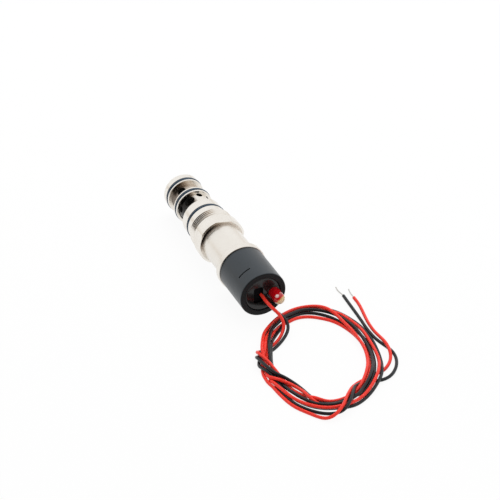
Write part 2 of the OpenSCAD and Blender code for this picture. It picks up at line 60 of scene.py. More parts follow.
IMAGE_PX = 500
FOCAL_PX = 2000
SENSOR_MM = 36
CAMERA_AT = Vector((-283.3, -651.1, 487.1)) * MM
FORWARD = Vector((0.34236, 0.74572, -0.57157))
RIGHT = Vector((0.90880, -0.41723, 0.0))
UP = Vector((0.23848, 0.51944, 0.82055))
CLIP_NEAR, CLIP_FAR = 0.05, 20

lens = bpy.data.cameras.new("camera")
lens.sensor_fit = "HORIZONTAL"
lens.sensor_width = SENSOR_MM
lens.lens = SENSOR_MM * FOCAL_PX / IMAGE_PX
lens.clip_start = CLIP_NEAR
lens.clip_end = CLIP_FAR
camera = put("camera", lens)
camera.matrix_world = Matrix((
    (RIGHT.x, UP.x, -FORWARD.x, CAMERA_AT.x),
    (RIGHT.y, UP.y, -FORWARD.y, CAMERA_AT.y),
    (RIGHT.z, UP.z, -FORWARD.z, CAMERA_AT.z),
    (0, 0, 0, 1),
))
scene.camera = camera

# The lay of the two leads, in millimetres

FLOOR_Z = -10.8
WIRE_D = 1.4
LOOP_X, LOOP_Y = 8.0, -84.0
LOOP_HALF_W, LOOP_HALF_L = 21.0, 31.5
LOOP_TURN = math.radians(-18)
STEP = 1.0

# From the foot in the cap, under the loop, round its outside and back over it
RED_IN = [
    (-0.5, -43.5, -0.5), (-0.5, -47, -0.5), (-0.5, -50, -0.8), (0, -53, -1.4), (1.1, -55.6, -2.4),
    (2.4, -57.5, -3.8), (3, -59.6, -5.3), (2.9, -61.3, -6.6), (2, -62.7, -7.8), (0.4, -64.3, -8.9),
    (-1.7, -65.9, -9.7), (-4.5, -67.5, -10.1), (-7.3, -68.8, -10.1), (-10, -69.6, -10.1),
    (-12.4, -70, -10), (-14, -70.6, -9), (-14.3, -72, -7.8), (-14.3, -74.5, -7), (-14, -77.4, -6.8),
    (-13.3, -80, -6.9), (-13, -83.1, -7.3), (-12.7, -86, -7.8), (-12.2, -87.8, -8.6),
]
BLACK_IN = [
    (0.2, -43.5, -1.8), (0.2, -47, -1.8), (0.3, -49.8, -2), (0.9, -52.6, -2.9), (2.1, -55.2, -4),
    (3.7, -57.2, -5.1), (4.6, -59.8, -6.1), (4.4, -62.2, -7.1), (3.1, -64.4, -8.1), (0.9, -66.1, -9.1),
    (-1.8, -68, -9.8), (-4.9, -69.8, -10.1), (-7.6, -71.4, -10.1), (-10.4, -72.2, -10.1),
    (-13.3, -72.9, -10), (-15.3, -73.5, -9), (-15.8, -75, -7.8), (-15.9, -77.6, -7.2),
    (-15.5, -81, -6.9), (-15.2, -83.8, -6.9), (-14.6, -86.1, -7.2), (-13.5, -88, -7.5),
]
# Turns of the loop, a list to each: degrees, way out from the loop's middle line, height above the floor
RED_TURNS = [[
    (206, -2.2, 1.3), (212, -2.8, 0.8), (223, -3.3, 0.7), (234, -3.7, 1.1), (246, -3.6, 2),
    (254, -3.8, 1.5), (268, -4, 0.7), (288, -3.7, 0.7), (305, -2.9, 1.2), (315, -2.3, 2.2), (323, -2.1, 3),
    (331, -2.1, 3.3), (340, -2.1, 3), (349, -2, 2.4),
], [
    (6, -2, 1.9), (16, -2.3, 1.9), (25, -2.5, 1.9), (35, -2.3, 1.9), (46, -2, 2.3), (58, -0.9, 3),
    (70, 0.8, 3.1), (79, 2, 2.6), (88, 2.5, 2.1), (97, 2.6, 1.9), (106, 2.5, 1.9), (117, 2.2, 1.9),
    (124, 2.4, 1.9), (136, 2.5, 1.9), (148, 2.8, 2.2), (155, 2.4, 2.8), (162, 2.1, 3.2), (168, 1.7, 3.1),
    (174, 1.5, 2.4), (181, 1.5, 1.8), (187, 1.8, 1.4), (193, 2.1, 1.2), (198, 2, 1.6), (202, 1.2, 2.1),
    (206, -0.6, 2.3), (210, -2.3, 2.1), (214, -3.4, 1.9), (219, -4.4, 1.8), (226, -4.9, 1.7),
    (233, -4.5, 1.9), (241, -3.4, 2.2), (248, -2.4, 1.9), (256, -1.6, 1.2), (265, -1.3, 0.7),
    (280, -1.3, 0.7), (295, -1.3, 0.7), (308, -1.3, 0.9), (320, -1.3, 1.6), (328, -1.2, 2), (336, -1.2, 2),
    (344, -1.2, 1.4), (354, -1.2, 0.7),
], [
    (10, -1.4, 0.7), (25, -2, 0.7), (39, -2.6, 0.7), (54, -3, 0.7), (63, -3.3, 0.7), (72, -3.6, 0.7),
    (82, -3.4, 0.7), (92, -2.8, 0.7), (102, -2.3, 0.7), (111, -1.8, 0.7), (120, -1.4, 0.7),
    (130, -0.8, 0.7), (142, -0.3, 0.9), (152, 0, 1.5), (162, 0.1, 2), (170, 0.2, 1.9), (178, 0.4, 1.1),
    (186, 0.7, 0.7), (196, 1, 0.8), (203, 1.2, 1.2), (209, 1.5, 1.6), (214, 1.3, 1.9), (220, 1.1, 1.9),
    (232, 1, 1.9), (246, 0.9, 1.9), (264, 1, 1.9), (278, 1, 1.9), (290, 1.3, 1.9), (305, 1.6, 1.9),
    (314, 1.8, 2.3), (322, 2.1, 3), (329, 2.3, 3.3), (336, 2.5, 3.2), (344, 2.6, 2.6), (352, 2.5, 2),
], [
    (1, 2, 1.9), (9, 1.5, 1.9), (26, 1.4, 1.9), (35, 1.4, 1.9), (43, 1.1, 1.9), (53, 1.1, 1.9),
    (61, 1.4, 1.7), (70, 1.8, 1.1), (80, 1.9, 0.7), (97, 1.9, 0.7), (120, 1.7, 0.7), (135, 1.4, 0.7),
    (147, 1, 1.4), (156, 0.8, 2.6), (165, 0.8, 3.2), (172, 1.2, 2.6), (179, 2.2, 1.4), (186, 3, 0.7),
    (194, 3.1, 0.7), (203, 2.6, 0.7), (210, 2.4, 0.7), (219, 2.6, 0.7), (226, 3, 0.7), (233, 3.5, 0.7),
    (239, 3.8, 0.7), (246, 4, 0.7), (253, 4.6, 0.7), (258, 5.4, 0.7), (263, 6.4, 0.8), (267, 6.7, 1.3),
    (271, 6, 2.2), (275, 4.6, 3), (280, 2.6, 3.5), (286, 0.1, 3.7), (292, -1.9, 3.6), (301, -3.5, 3),
    (309, -4.6, 2.1), (316, -4.8, 1.2),
]]
BLACK_TURNS = [[
    (204, -2.4, 2.6), (208, -4.4, 1.8), (215, -5.8, 1.2), (221, -6.3, 0.9), (229, -6.2, 0.7),
    (237, -5.4, 0.7), (244, -4.3, 0.7), (251, -3.2, 0.7), (260, -2.7, 0.7), (275, -2.7, 0.7),
    (290, -2.2, 0.7), (303, -1, 0.8), (313, -0.1, 1.3), (322, 0.6, 2), (330, 0.8, 2.1), (338, 0.8, 1.8),
    (348, 0.8, 1), (358, 0.8, 0.7),
], [
    (12, 0.6, 0.7), (25, 0.2, 0.7), (35, -0.4, 0.7), (44, -1.2, 0.7), (54, -1.6, 0.7), (64, -1.3, 0.7),
    (78, -0.9, 0.7), (87, -0.4, 0.7), (95, 0, 0.7), (103, 0.1, 0.7), (114, -0.2, 0.7), (124, -1.2, 0.7),
    (134, -1.9, 0.7), (146, -1.5, 0.7), (154, -1.3, 1.2), (162, -1.3, 1.9), (170, -1.3, 2),
    (177, -1.3, 1.5), (185, -1.2, 0.8), (195, -1.2, 0.7), (204, -1.2, 0.8), (210, -1.1, 1.2),
    (216, -1.2, 1.4), (226, -1.5, 1.7), (232, -1.4, 1.8), (246, -1.1, 1.9), (261, -0.7, 1.9),
    (280, -0.7, 1.9), (295, -0.8, 1.9), (309, -0.6, 2), (316, -0.5, 2.5), (323, -0.2, 3.1), (330, 0, 3.4),
    (337, 0, 3.2), (345, 0, 2.5), (354, 0, 1.9),
], [
    (6, -0.4, 1.9), (15, -0.5, 1.9), (25, -0.5, 1.9), (34, -0.4, 1.9), (45, -0.1, 1.9), (56, 0.5, 1.8),
    (66, 0.5, 1.6), (75, 0.4, 1.7), (87, 0.4, 1.9), (97, 0.6, 1.9), (105, 0.4, 1.9), (115, 0, 1.9),
    (128, 0.3, 1.9), (140, 0.7, 2), (146, 0.5, 2.3), (153, 0.1, 2.9), (160, -0.4, 3.2), (167, -0.7, 3.1),
    (173, -0.9, 2.5), (180, -1.1, 2), (190, -0.7, 1.8), (200, -0.1, 1.3), (208, 0.1, 0.8), (216, 0, 0.7),
    (230, 0, 0.7), (246, 0.1, 0.7), (264, 0.1, 0.7), (278, 0.4, 0.7), (291, 2, 0.7), (298, 2.3, 0.7),
    (308, 2.6, 0.9), (317, 3, 1.5), (326, 3.4, 2), (333, 3.8, 2), (340, 3.9, 1.4), (348, 3.7, 0.8),
    (356, 3.4, 0.7),
], [
    (5, 3.1, 0.7), (20, 3.1, 0.7), (35, 3, 0.7), (50, 2.9, 0.7), (65, 3.2, 0.7), (85, 3.4, 0.7),
    (105, 3.3, 0.7), (125, 3.1, 0.7), (140, 2.8, 0.7), (152, 2.2, 1.2), (160, 1.7, 1.9), (167, 1.7, 2),
    (173, 2.6, 1.4), (178, 3.5, 0.8), (183, 4, 0.9), (187, 3.6, 1.7), (191, 2.7, 2.4), (195, 1.8, 2.4),
    (200, 1.2, 1.7), (205, 1, 0.9), (212, 1.1, 0.7), (222, 1.4, 0.7), (232, 2, 0.7), (238, 2.3, 0.7),
    (246, 2.4, 0.7), (254, 2.8, 0.7), (262, 3.2, 0.7), (270, 3.6, 0.9), (276, 4.1, 1.6), (281, 3.8, 2.6),
    (286, 2.4, 3.4), (292, 0.4, 3.7), (299, -1.4, 3.6), (306, -2.8, 2.9), (313, -3.9, 1.9),
]]
# Out under the loop and back along its right side to the bare ends
RED_OUT = [
    (19, -103.4, -9.9), (22, -102.6, -9.4), (25, -102, -9.6), (28, -101.2, -9.8), (31.2, -99.2, -9.9),
    (33.6, -96.6, -9.7), (35.2, -93.4, -9), (36, -89.8, -8.6), (36.3, -86, -8.6), (36.4, -82.2, -9.2),
    (36.5, -78.4, -9.9), (36.6, -74.6, -10.1), (37.2, -69, -10.1), (38.4, -63, -10.1),
    (39.4, -57.4, -10.1), (39.6, -52.4, -10.1),
]
BLACK_OUT = [
    (16.9, -104.6, -9.9), (19.4, -105.4, -9.4), (22, -106.2, -9.8), (25, -106.6, -10.1),
    (28.4, -105.9, -10.1), (31.8, -103.4, -10.1), (34.6, -100, -10.1), (36.4, -96, -10.1),
    (37, -92, -10.1), (36.3, -88, -10.1), (35.2, -84, -10.1), (34.5, -80, -10.1), (34.3, -76, -10.1),
    (34.9, -70, -10.1), (35.4, -63, -10.1), (35.8, -56, -10.1), (36.2, -49.4, -10.1),
]


def on_loop(degrees, out, height):
    """A point beside the loop's middle line."""
    a = math.radians(degrees)
    c, s = math.cos(LOOP_TURN), math.sin(LOOP_TURN)
    turn = np.array([[c, -s], [s, c]])
    normal = turn @ np.array([math.cos(a) / LOOP_HALF_W, math.sin(a) / LOOP_HALF_L])
    normal /= np.linalg.norm(normal)
    point = turn @ np.array([LOOP_HALF_W * math.cos(a), LOOP_HALF_L * math.sin(a)])
    point = point + np.array([LOOP_X, LOOP_Y]) + out * normal
    return (point[0], point[1], FLOOR_Z + height)


def turn_keys(turns):
    """Key points of all turns, one turn after the other."""
    keys = []
    for turn, row in enumerate(turns):
        for degrees, out, height in row:
            keys.append(on_loop(360 * turn + degrees, out, height))
    return keys


def even_line(line, step):
    """The same line with its points an even step apart."""
    run = np.concatenate([[0], np.cumsum(np.linalg.norm(np.diff(line, axis=0), axis=1))])
    at = np.linspace(0, run[-1], int(round(run[-1] / step)) + 1)
    return np.stack([np.interp(at, run, line[:, c]) for c in range(3)], axis=1)


def smooth_line(keys, step, fine=8000):
    """A smooth line through the key points."""
    k = np.array(keys, float)
    t = np.concatenate([[0], np.cumsum(np.sqrt(np.linalg.norm(np.diff(k, axis=0), axis=1)))])
    gap = np.diff(t)[:, None]
    slope = np.diff(k, axis=0) / gap
    m = np.empty_like(k)
    m[0], m[-1] = slope[0], slope[-1]
    m[1:-1] = (slope[1:] * gap[:-1] + slope[:-1] * gap[1:]) / (gap[:-1] + gap[1:])
    at = np.linspace(0, t[-1], fine)
    i = np.clip(np.searchsorted(t, at, side="right") - 1, 0, len(k) - 2)
    u = (at - t[i])[:, None] / gap[i]
    line = ((2 * u**3 - 3 * u**2 + 1) * k[i] + (u**3 - 2 * u**2 + u) * gap[i] * m[i]
            + (3 * u**2 - 2 * u**3) * k[i + 1] + (u**3 - u**2) * gap[i] * m[i + 1])
    return even_line(line, step)


# How the leads settle: room from middle to middle, looks for neighbours, pushes, and what holds the line
APART, ROUNDS = 1.45, 300
OWN_RUN, LOOK_FARTHER, LOOK_EVERY = 6, 2.5, 20
PUSHES, PUSH, PUSH_MOST = 2, 0.35, 0.3
TAUT, STIFF, HOMING = 0.02, 0.10, 0.02
HELD_FIRST, HELD_LAST = 4, 3
TINY = 1e-9


def settle(lines):
    """Pushes strands apart over a set number of rounds, and keeps them smooth and above the floor."""
    count = len(lines[0])
    home = np.concatenate(lines)
    p = home.copy()
    spans = ((0, count), (count, len(p)))
    lead = np.repeat([0, 1], [len(line) for line in lines])
    run = np.concatenate([np.arange(len(line)) for line in lines]) * STEP
    free = np.ones((len(p), 1))
    for a, b in spans:
        free[a:a + HELD_FIRST] = 0
        free[b - HELD_LAST:b] = 0
    i, j = np.triu_indices(len(p), 1)
    apart_on_lead = (lead[i] != lead[j]) | (np.abs(run[i] - run[j]) > OWN_RUN)
    i, j = i[apart_on_lead], j[apart_on_lead]
    for r in range(ROUNDS):
        if r % LOOK_EVERY == 0:
            close = ((p[i] - p[j])**2).sum(1) < (APART + LOOK_FARTHER)**2
            near_i, near_j = i[close], j[close]
        for _ in range(PUSHES):
            d = p[near_i] - p[near_j]
            dist = np.sqrt((d * d).sum(1)) + TINY
            hit = dist < APART
            push = d[hit] * (PUSH * (APART - dist[hit]) / dist[hit])[:, None]
            move = np.zeros_like(p)
            np.add.at(move, near_i[hit], push)
            np.add.at(move, near_j[hit], -push)
            p += free * np.clip(move, -PUSH_MOST, PUSH_MOST)
        bend = np.zeros_like(p)
        for a, b in spans:
            q = p[a:b]
            curve = np.zeros_like(q)
            curve[1:-1] = q[:-2] + q[2:] - 2 * q[1:-1]
            stiff = np.zeros_like(q)
            stiff[1:-1] = curve[:-2] + curve[2:] - 2 * curve[1:-1]
            bend[a:b] = TAUT * curve - STIFF * stiff
        p += free * (bend + HOMING * (home - p))
        p[:, 2] = np.maximum(p[:, 2], FLOOR_Z + WIRE_D / 2)
    return p[:count], p[count:]


def tube_curve(name, lines, radius, roundness, finish):
    """Round wires along the lines, as one piece."""
    data = bpy.data.curves.new(name, "CURVE")
    data.dimensions = "3D"
    data.bevel_depth = radius * MM
    data.bevel_resolution = roundness
    data.use_fill_caps = True
    for line in lines:
        spline = data.splines.new("POLY")
        spline.points.add(len(line) - 1)
        for point, (x, y, z) in zip(spline.points, line):
            point.co = (x * MM, y * MM, z * MM, 1)
        spline.use_smooth = True
    data.materials.append(finish)
    return put(name, data)


red_line, black_line = settle([
    smooth_line(RED_IN + turn_keys(RED_TURNS) + RED_OUT, STEP),
    smooth_line(BLACK_IN + turn_keys(BLACK_TURNS) + BLACK_OUT, STEP),
])

# Sizes that both the finishes and the shapes use, in millimetres

REAR_GROOVE_R, FRONT_GROOVE_R, CORNER_R = 7.2, 6.6, 9.4
POTTING_BACK = -46.8
LAMP_X, LAMP_Z, LAMP_R, LAMP_FOOT_R, LAMP_H = 4.9, -0.2, 2.5, 2.85, 7.6
DOME_FROM = POTTING_BACK - LAMP_H + LAMP_R

# Materials

WHITE = (1, 1, 1, 1)
SOCKETS = {
    "specular": "Specular IOR Level", "ior": "IOR", "transmission": "Transmission Weight",
    "coat": "Coat Weight", "tint": "Specular Tint",
}
# Places of the colour sockets of a mix node
MIX_FIRST, MIX_SECOND, MIX_RESULT = 6, 7, 2
# Share of a noise over which colour and roughness drift
DRIFT = (0.3, 0.7)


def material(name, color, metallic=0.0, roughness=0.5, **sockets):
    mat = bpy.data.materials.new(name)
    mat.use_nodes = True
    shader = mat.node_tree.nodes["Principled BSDF"]
    shader.inputs["Base Color"].default_value = (*color, 1)
    shader.inputs["Metallic"].default_value = metallic
    shader.inputs["Roughness"].default_value = roughness
    for key, value in sockets.items():
        shader.inputs[SOCKETS[key]].default_value = value
    return mat


def add(tree_nodes, kind, **values):
    node = tree_nodes.new(kind)
    for key, value in values.items():
        if key in node.inputs.keys():
            node.inputs[key].default_value = value
        else:
            setattr(node, key, value)
    return node


def feed(tree, source, socket):
    """Links a node's output to the socket, or sets the socket to a plain value."""
    if isinstance(source, bpy.types.NodeSocket):
        tree.links.new(source, socket)
    else:
        socket.default_value = source


def ramp_from(tree, source, stops):
    """Colours at stops along the source's value."""
    ramp = tree.nodes.new("ShaderNodeValToRGB")
    elements = ramp.color_ramp.elements
    while len(elements) < len(stops):
        elements.new(1)
    for element, (place, color) in zip(elements, stops):
        element.position = place
        element.color = (*color, 1)
    tree.links.new(source, ramp.inputs["Fac"])
    return ramp.outputs["Color"]


def along(tree, source, direction):
    """How far the source reaches in a direction."""
    dot = add(tree.nodes, "ShaderNodeVectorMath", operation="DOT_PRODUCT")
    dot.inputs[1].default_value = direction
    tree.links.new(source, dot.inputs[0])
    return dot.outputs["Value"]


def blend_colors(tree, factor, first, second, blend="MIX"):
    mix = add(tree.nodes, "ShaderNodeMix", data_type="RGBA", blend_type=blend)
    feed(tree, factor, mix.inputs["Factor"])
    feed(tree, first, mix.inputs[MIX_FIRST])
    feed(tree, second, mix.inputs[MIX_SECOND])
    return mix.outputs[MIX_RESULT]


def blend_shaders(tree, factor, first, second):
    mix = tree.nodes.new("ShaderNodeMixShader")
    for source, socket in zip((factor, first, second), mix.inputs):
        tree.links.new(source, socket)
    return mix.outputs[0]


def noise_field(mat, scale, stretch, detail):
    """A noise over the piece's own coordinates; stretch draws it out along an axis."""
    tn, ln = mat.node_tree.nodes, mat.node_tree.links
    coords = tn.new("ShaderNodeTexCoord")
    mapping = add(tn, "ShaderNodeMapping", Scale=stretch)
    noise = add(tn, "ShaderNodeTexNoise", Scale=scale, Detail=detail)
    ln.new(coords.outputs["Object"], mapping.inputs["Vector"])
    ln.new(mapping.outputs["Vector"], noise.inputs["Vector"])
    return noise.outputs["Fac"]


def vary(mat, colors, rough, scale=300, stretch=(1, 1, 1), detail=4.0):
    """Colour and roughness that drift between two values."""
    tree = mat.node_tree
    shader = tree.nodes["Principled BSDF"]
    noise = noise_field(mat, scale, stretch, detail)
    tree.links.new(ramp_from(tree, noise, list(zip(DRIFT, colors))), shader.inputs["Base Color"])
    spread = tree.nodes.new("ShaderNodeMapRange")
    for key, value in zip(("From Min", "From Max", "To Min", "To Max"), (*DRIFT, *rough)):
        spread.inputs[key].default_value = value
    tree.links.new(noise, spread.inputs["Value"])
    tree.links.new(spread.outputs["Result"], shader.inputs["Roughness"])
    return mat


def grain(mat, scale, height_mm, strength=0.5, stretch=(1, 1, 1), detail=3.0):
    """Fine relief, such as tool marks or moulded grain."""
    tn, ln = mat.node_tree.nodes, mat.node_tree.links
    lift = add(tn, "ShaderNodeBump", Strength=strength, Distance=height_mm * MM)
    ln.new(noise_field(mat, scale, stretch, detail), lift.inputs["Height"])
    ln.new(lift.outputs["Normal"], tn["Principled BSDF"].inputs["Normal"])
    return mat


def paint_light_along(mat, towards, stain, start=0.0):
    """Painted light or shade: colour that changes along one direction, given as (share of the way, colour).
    """
    tree = mat.node_tree
    coords = tree.nodes.new("ShaderNodeTexCoord")
    begun = add(tree.nodes, "ShaderNodeMath", operation="SUBTRACT")
    begun.inputs[1].default_value = start
    tree.links.new(along(tree, coords.outputs["Object"], towards), begun.inputs[0])
    color = ramp_from(tree, begun.outputs[0], stain)
    tree.links.new(color, tree.nodes["Principled BSDF"].inputs["Base Color"])
    return mat


def paint_highlight(mat, at, size, color):
    """A painted highlight: a soft spot of another colour on a piece whose colour already changes along one
    direction.
    """
    tree = mat.node_tree
    coords = tree.nodes.new("ShaderNodeTexCoord")
    away = add(tree.nodes, "ShaderNodeVectorMath", operation="DISTANCE")
    away.inputs[1].default_value = at
    fade = tree.nodes.new("ShaderNodeMapRange")
    fade.inputs["From Min"].default_value = size
    fade.inputs["From Max"].default_value = size / 2
    tree.links.new(coords.outputs["Object"], away.inputs[0])
    tree.links.new(away.outputs["Value"], fade.inputs["Value"])
    base = tree.nodes["Principled BSDF"].inputs["Base Color"]
    highlight = blend_colors(tree, fade.outputs["Result"], base.links[0].from_socket, (*color, 1))
    tree.links.new(highlight, base)
    return mat


# Noise drawn out round the axis, and the marks of the turning tool
TURNED = (0.02, 1, 0.02)
TOOL_MARKS = (7000, 0.002, 0.4, TURNED)
# Sides toward which the painted shade of the grooves and of the corner behind the collar deepens, and the
# side of the lamp's painted refracted light, with (share of the way there, colour)
SHADE_SIDE, CORNER_SIDE = Vector((-0.970, 0, 0.242)), Vector((-0.788, 0, 0.616))
REFRACTED_LIGHT_SIDE = Vector((0.474, -0.663, -0.580))
REAR_GROOVE_SHADE = [
    (0.30, (0.84, 0.80, 0.74)), (0.46, (0.30, 0.26, 0.22)),
    (0.56, (0.03, 0.026, 0.022)), (0.95, (0.022, 0.02, 0.018)),
]
FRONT_GROOVE_SHADE = [
    (0.05, (0.66, 0.58, 0.50)), (0.40, (0.46, 0.39, 0.33)),
    (0.70, (0.22, 0.18, 0.15)), (0.97, (0.20, 0.165, 0.14)),
]
CORNER_SHADE_RAMP = [
    (0.60, (0.80, 0.75, 0.68)), (0.78, (0.44, 0.37, 0.31)),
    (0.90, (0.06, 0.05, 0.043)), (1.0, (0.02, 0.018, 0.016)),
]
LAMP_REFRACTED_LIGHT = [
    (0.0, (0.60, 0.004, 0.010)), (0.12, (0.80, 0.010, 0.014)), (0.26, (1.0, 0.46, 0.16)),
    (0.36, (1.0, 0.80, 0.36)), (0.80, (1.0, 0.92, 0.62)),
]
LAMP_MIDDLE = Vector((LAMP_X, DOME_FROM, LAMP_Z))
# Painted highlight on the lamp's dome: its place, size and colour
HIGHLIGHT_AT, HIGHLIGHT_SIZE, HIGHLIGHT_COLOR = Vector((3.65, -52.64, 1.84)), 1.0, (1.0, 0.84, 0.80)

nickel = material("nickel", (0.80, 0.77, 0.72), 1.0)
vary(nickel, ((0.82, 0.78, 0.72), (0.88, 0.845, 0.79)), (0.17, 0.26), 160)
barrel_nickel = material("barrel_nickel", (0.83, 0.80, 0.75), 1.0)
vary(barrel_nickel, ((0.82, 0.78, 0.72), (0.88, 0.845, 0.79)), (0.26, 0.34), 160)
# Painted shade: the groove floors darken towards one side, as shade falls in the recesses
rear_groove_shaded_nickel = material("rear_groove_shaded_nickel", (0.8, 0.76, 0.70), 1.0, 0.24)
paint_light_along(rear_groove_shaded_nickel, SHADE_SIDE / (REAR_GROOVE_R * MM), REAR_GROOVE_SHADE)
front_groove_shaded_nickel = material("front_groove_shaded_nickel", (0.6, 0.52, 0.45), 1.0, 0.26)
paint_light_along(front_groove_shaded_nickel, SHADE_SIDE / (FRONT_GROOVE_R * MM), FRONT_GROOVE_SHADE)
# Painted shade: the bores and the walls of the ports are near black, as shade falls inside them
bore_shade = material("bore_shade", (0.03, 0.027, 0.025), 0.6)
vary(bore_shade, ((0.022, 0.02, 0.018), (0.038, 0.034, 0.03)), (0.5, 0.65), 900)
face_dull = material("face_dull", (0.7, 0.65, 0.58), 1.0)
vary(face_dull, ((0.74, 0.68, 0.61), (0.84, 0.79, 0.73)), (0.55, 0.65), 300)
# Painted shade: the collar's rear face darkens towards one side, into the corner by the barrel
collar_corner_shade = material("collar_corner_shade", (0.4, 0.36, 0.31), 1.0, 0.5)
paint_light_along(collar_corner_shade, CORNER_SIDE / (CORNER_R * MM), CORNER_SHADE_RAMP)
for plate in (nickel, barrel_nickel, rear_groove_shaded_nickel, front_groove_shaded_nickel, collar_corner_shade):
    grain(plate, *TOOL_MARKS)
rubber = material("seal_rubber", (0.022, 0.050, 0.085), specular=0.5)
vary(rubber, ((0.017, 0.040, 0.070), (0.028, 0.060, 0.100)), (0.30, 0.42), 700)
grain(rubber, 5000, 0.004, 0.3)
cap_black = material("cap_black", (0.014, 0.02, 0.026), specular=0.62, tint=(0.90, 0.96, 1.0, 1))
vary(cap_black, ((0.012, 0.017, 0.022), (0.017, 0.023, 0.030)), (0.30, 0.38), 400)
grain(cap_black, 6000, 0.003, 0.4)
# Painted shade: the cap's end face and its slit, darker and duller than the rest of the cap
cap_end_shade = material("cap_end_shade", (0.011, 0.012, 0.013), specular=0.15)
vary(cap_end_shade, ((0.009, 0.010, 0.011), (0.013, 0.014, 0.015)), (0.45, 0.6), 900)
grain(cap_end_shade, 4000, 0.006, 0.5)
resin_black = material("resin_black", (0.008, 0.008, 0.008), specular=0.4)
vary(resin_black, ((0.006, 0.006, 0.006), (0.010, 0.010, 0.010)), (0.12, 0.18), 250)
grain(resin_black, 500, 0.02, 0.15)
# Painted shade: the well in the potting, dull and near black
well_shade = material("well_shade", (0.003, 0.003, 0.004), specular=0.06)
vary(well_shade, ((0.002, 0.002, 0.003), (0.004, 0.004, 0.005)), (0.55, 0.7), 900)
red_pvc = material("red_pvc", (0.92, 0.045, 0.028), specular=0.28)
vary(red_pvc, ((0.89, 0.038, 0.022), (0.95, 0.050, 0.032)), (0.22, 0.30), 500)
grain(red_pvc, 3500, 0.004, 0.3)
black_pvc = material("black_pvc", (0.010, 0.012, 0.014), specular=0.36)
vary(black_pvc, ((0.008, 0.010, 0.012), (0.013, 0.016, 0.019)), (0.22, 0.30), 500)
grain(black_pvc, 3500, 0.004, 0.3)
# The dome's colour: red as the core it holds, then painted refracted light that turns golden-cream towards
# one side
lamp_clear = material("lamp_clear", (1.0, 0.86, 0.56), roughness=0.03, transmission=0.3, ior=1.3, coat=1.0)
paint_light_along(lamp_clear, REFRACTED_LIGHT_SIDE / (LAMP_R * MM), LAMP_REFRACTED_LIGHT, REFRACTED_LIGHT_SIDE.dot(LAMP_MIDDLE) / LAMP_R)
paint_highlight(lamp_clear, HIGHLIGHT_AT * MM, HIGHLIGHT_SIZE * MM, HIGHLIGHT_COLOR)
grain(lamp_clear, 900, 0.01, 0.1)
lamp_red = material("lamp_red", (0.78, 0.008, 0.012), specular=0.3)
vary(lamp_red, ((0.66, 0.005, 0.010), (0.86, 0.014, 0.012)), (0.25, 0.4), 900)
tinned = material("tinned", (0.74, 0.73, 0.70), 1.0)
vary(tinned, ((0.66, 0.65, 0.62), (0.80, 0.79, 0.77)), (0.22, 0.4), 2500)
steel = material("steel", (0.5, 0.5, 0.51), 1.0)
vary(steel, ((0.44, 0.44, 0.45), (0.56, 0.56, 0.57)), (0.25, 0.38), 300)
grain(steel, 6000, 0.003, 0.5, TURNED)
brass = material("brass", (0.75, 0.55, 0.25), 1.0)
vary(brass, ((0.70, 0.50, 0.22), (0.80, 0.61, 0.30)), (0.2, 0.32), 300)
grain(brass, 6000, 0.003, 0.5, TURNED)
copper = material("copper", (0.6, 0.25, 0.1), 1.0)
vary(copper, ((0.50, 0.20, 0.08), (0.68, 0.32, 0.14)), (0.25, 0.4), 3000, TURNED)
grain(copper, 4000, 0.02, 0.6, TURNED)
ivory = material("ivory", (0.75, 0.72, 0.62))
vary(ivory, ((0.70, 0.67, 0.57), (0.78, 0.75, 0.66)), (0.4, 0.5), 600)
laminate = material("laminate", (0.04, 0.2, 0.08))
vary(laminate, ((0.03, 0.17, 0.07), (0.05, 0.23, 0.10)), (0.3, 0.5), 900)
lacquer = material("lacquer", (0.6, 0.48, 0.3))
vary(lacquer, ((0.55, 0.43, 0.26), (0.65, 0.52, 0.34)), (0.3, 0.45), 900)

FINISH = {
    "valve_body": nickel, "nose_seat": nickel, "barrel": barrel_nickel,
    "front_o_ring": rubber, "middle_o_ring": rubber, "rear_o_ring": rubber, "pole_o_ring": rubber,
    "rear_face_seal": rubber, "front_face_seal": rubber,
    "return_spring": steel, "push_pin": steel, "pole_piece": steel, "armature": steel, "flux_washer": steel,
    "valve_stem": brass, "stem_guide": brass, "guide_tube": brass, "armature_stop": brass,
    "coil_winding": copper, "bobbin": ivory, "circuit_board": laminate, "lamp_resistor": lacquer,
    "coil_pins": tinned, "lamp_legs": tinned, "red_tip": tinned, "black_tip": tinned,
    "end_cap": cap_black, "potting": resin_black, "indicator_lamp": lamp_red,
    "red_lead": red_pvc, "red_tail": red_pvc, "lead_loop": red_pvc,
    "black_lead": black_pvc, "black_tail": black_pvc,
}
for name, node in nodes.items():
    node.data.materials.clear()
    node.data.materials.append(FINISH[name])

# Leads, along the lines in which they settled

LEAD_ROUND = 4
red_wire = tube_curve("red_wire", [red_line], WIRE_D / 2, LEAD_ROUND, red_pvc)
black_wire = tube_curve("black_wire", [black_line], WIRE_D / 2, LEAD_ROUND, black_pvc)

# Turned shapes, as closed outlines of (way from the axis, place along it, rounding of the corner)

ARC_STEPS = 4
SUPPORT = 0.05
SIDES = 192
SHARP = math.radians(35)
ON_AXIS = 1e-6
# Room between pieces that fit, how far cutters reach past a piece, and a hair's breadth for comparing
FIT, OVERCUT, HAIR = 0.02, 1, 0.01


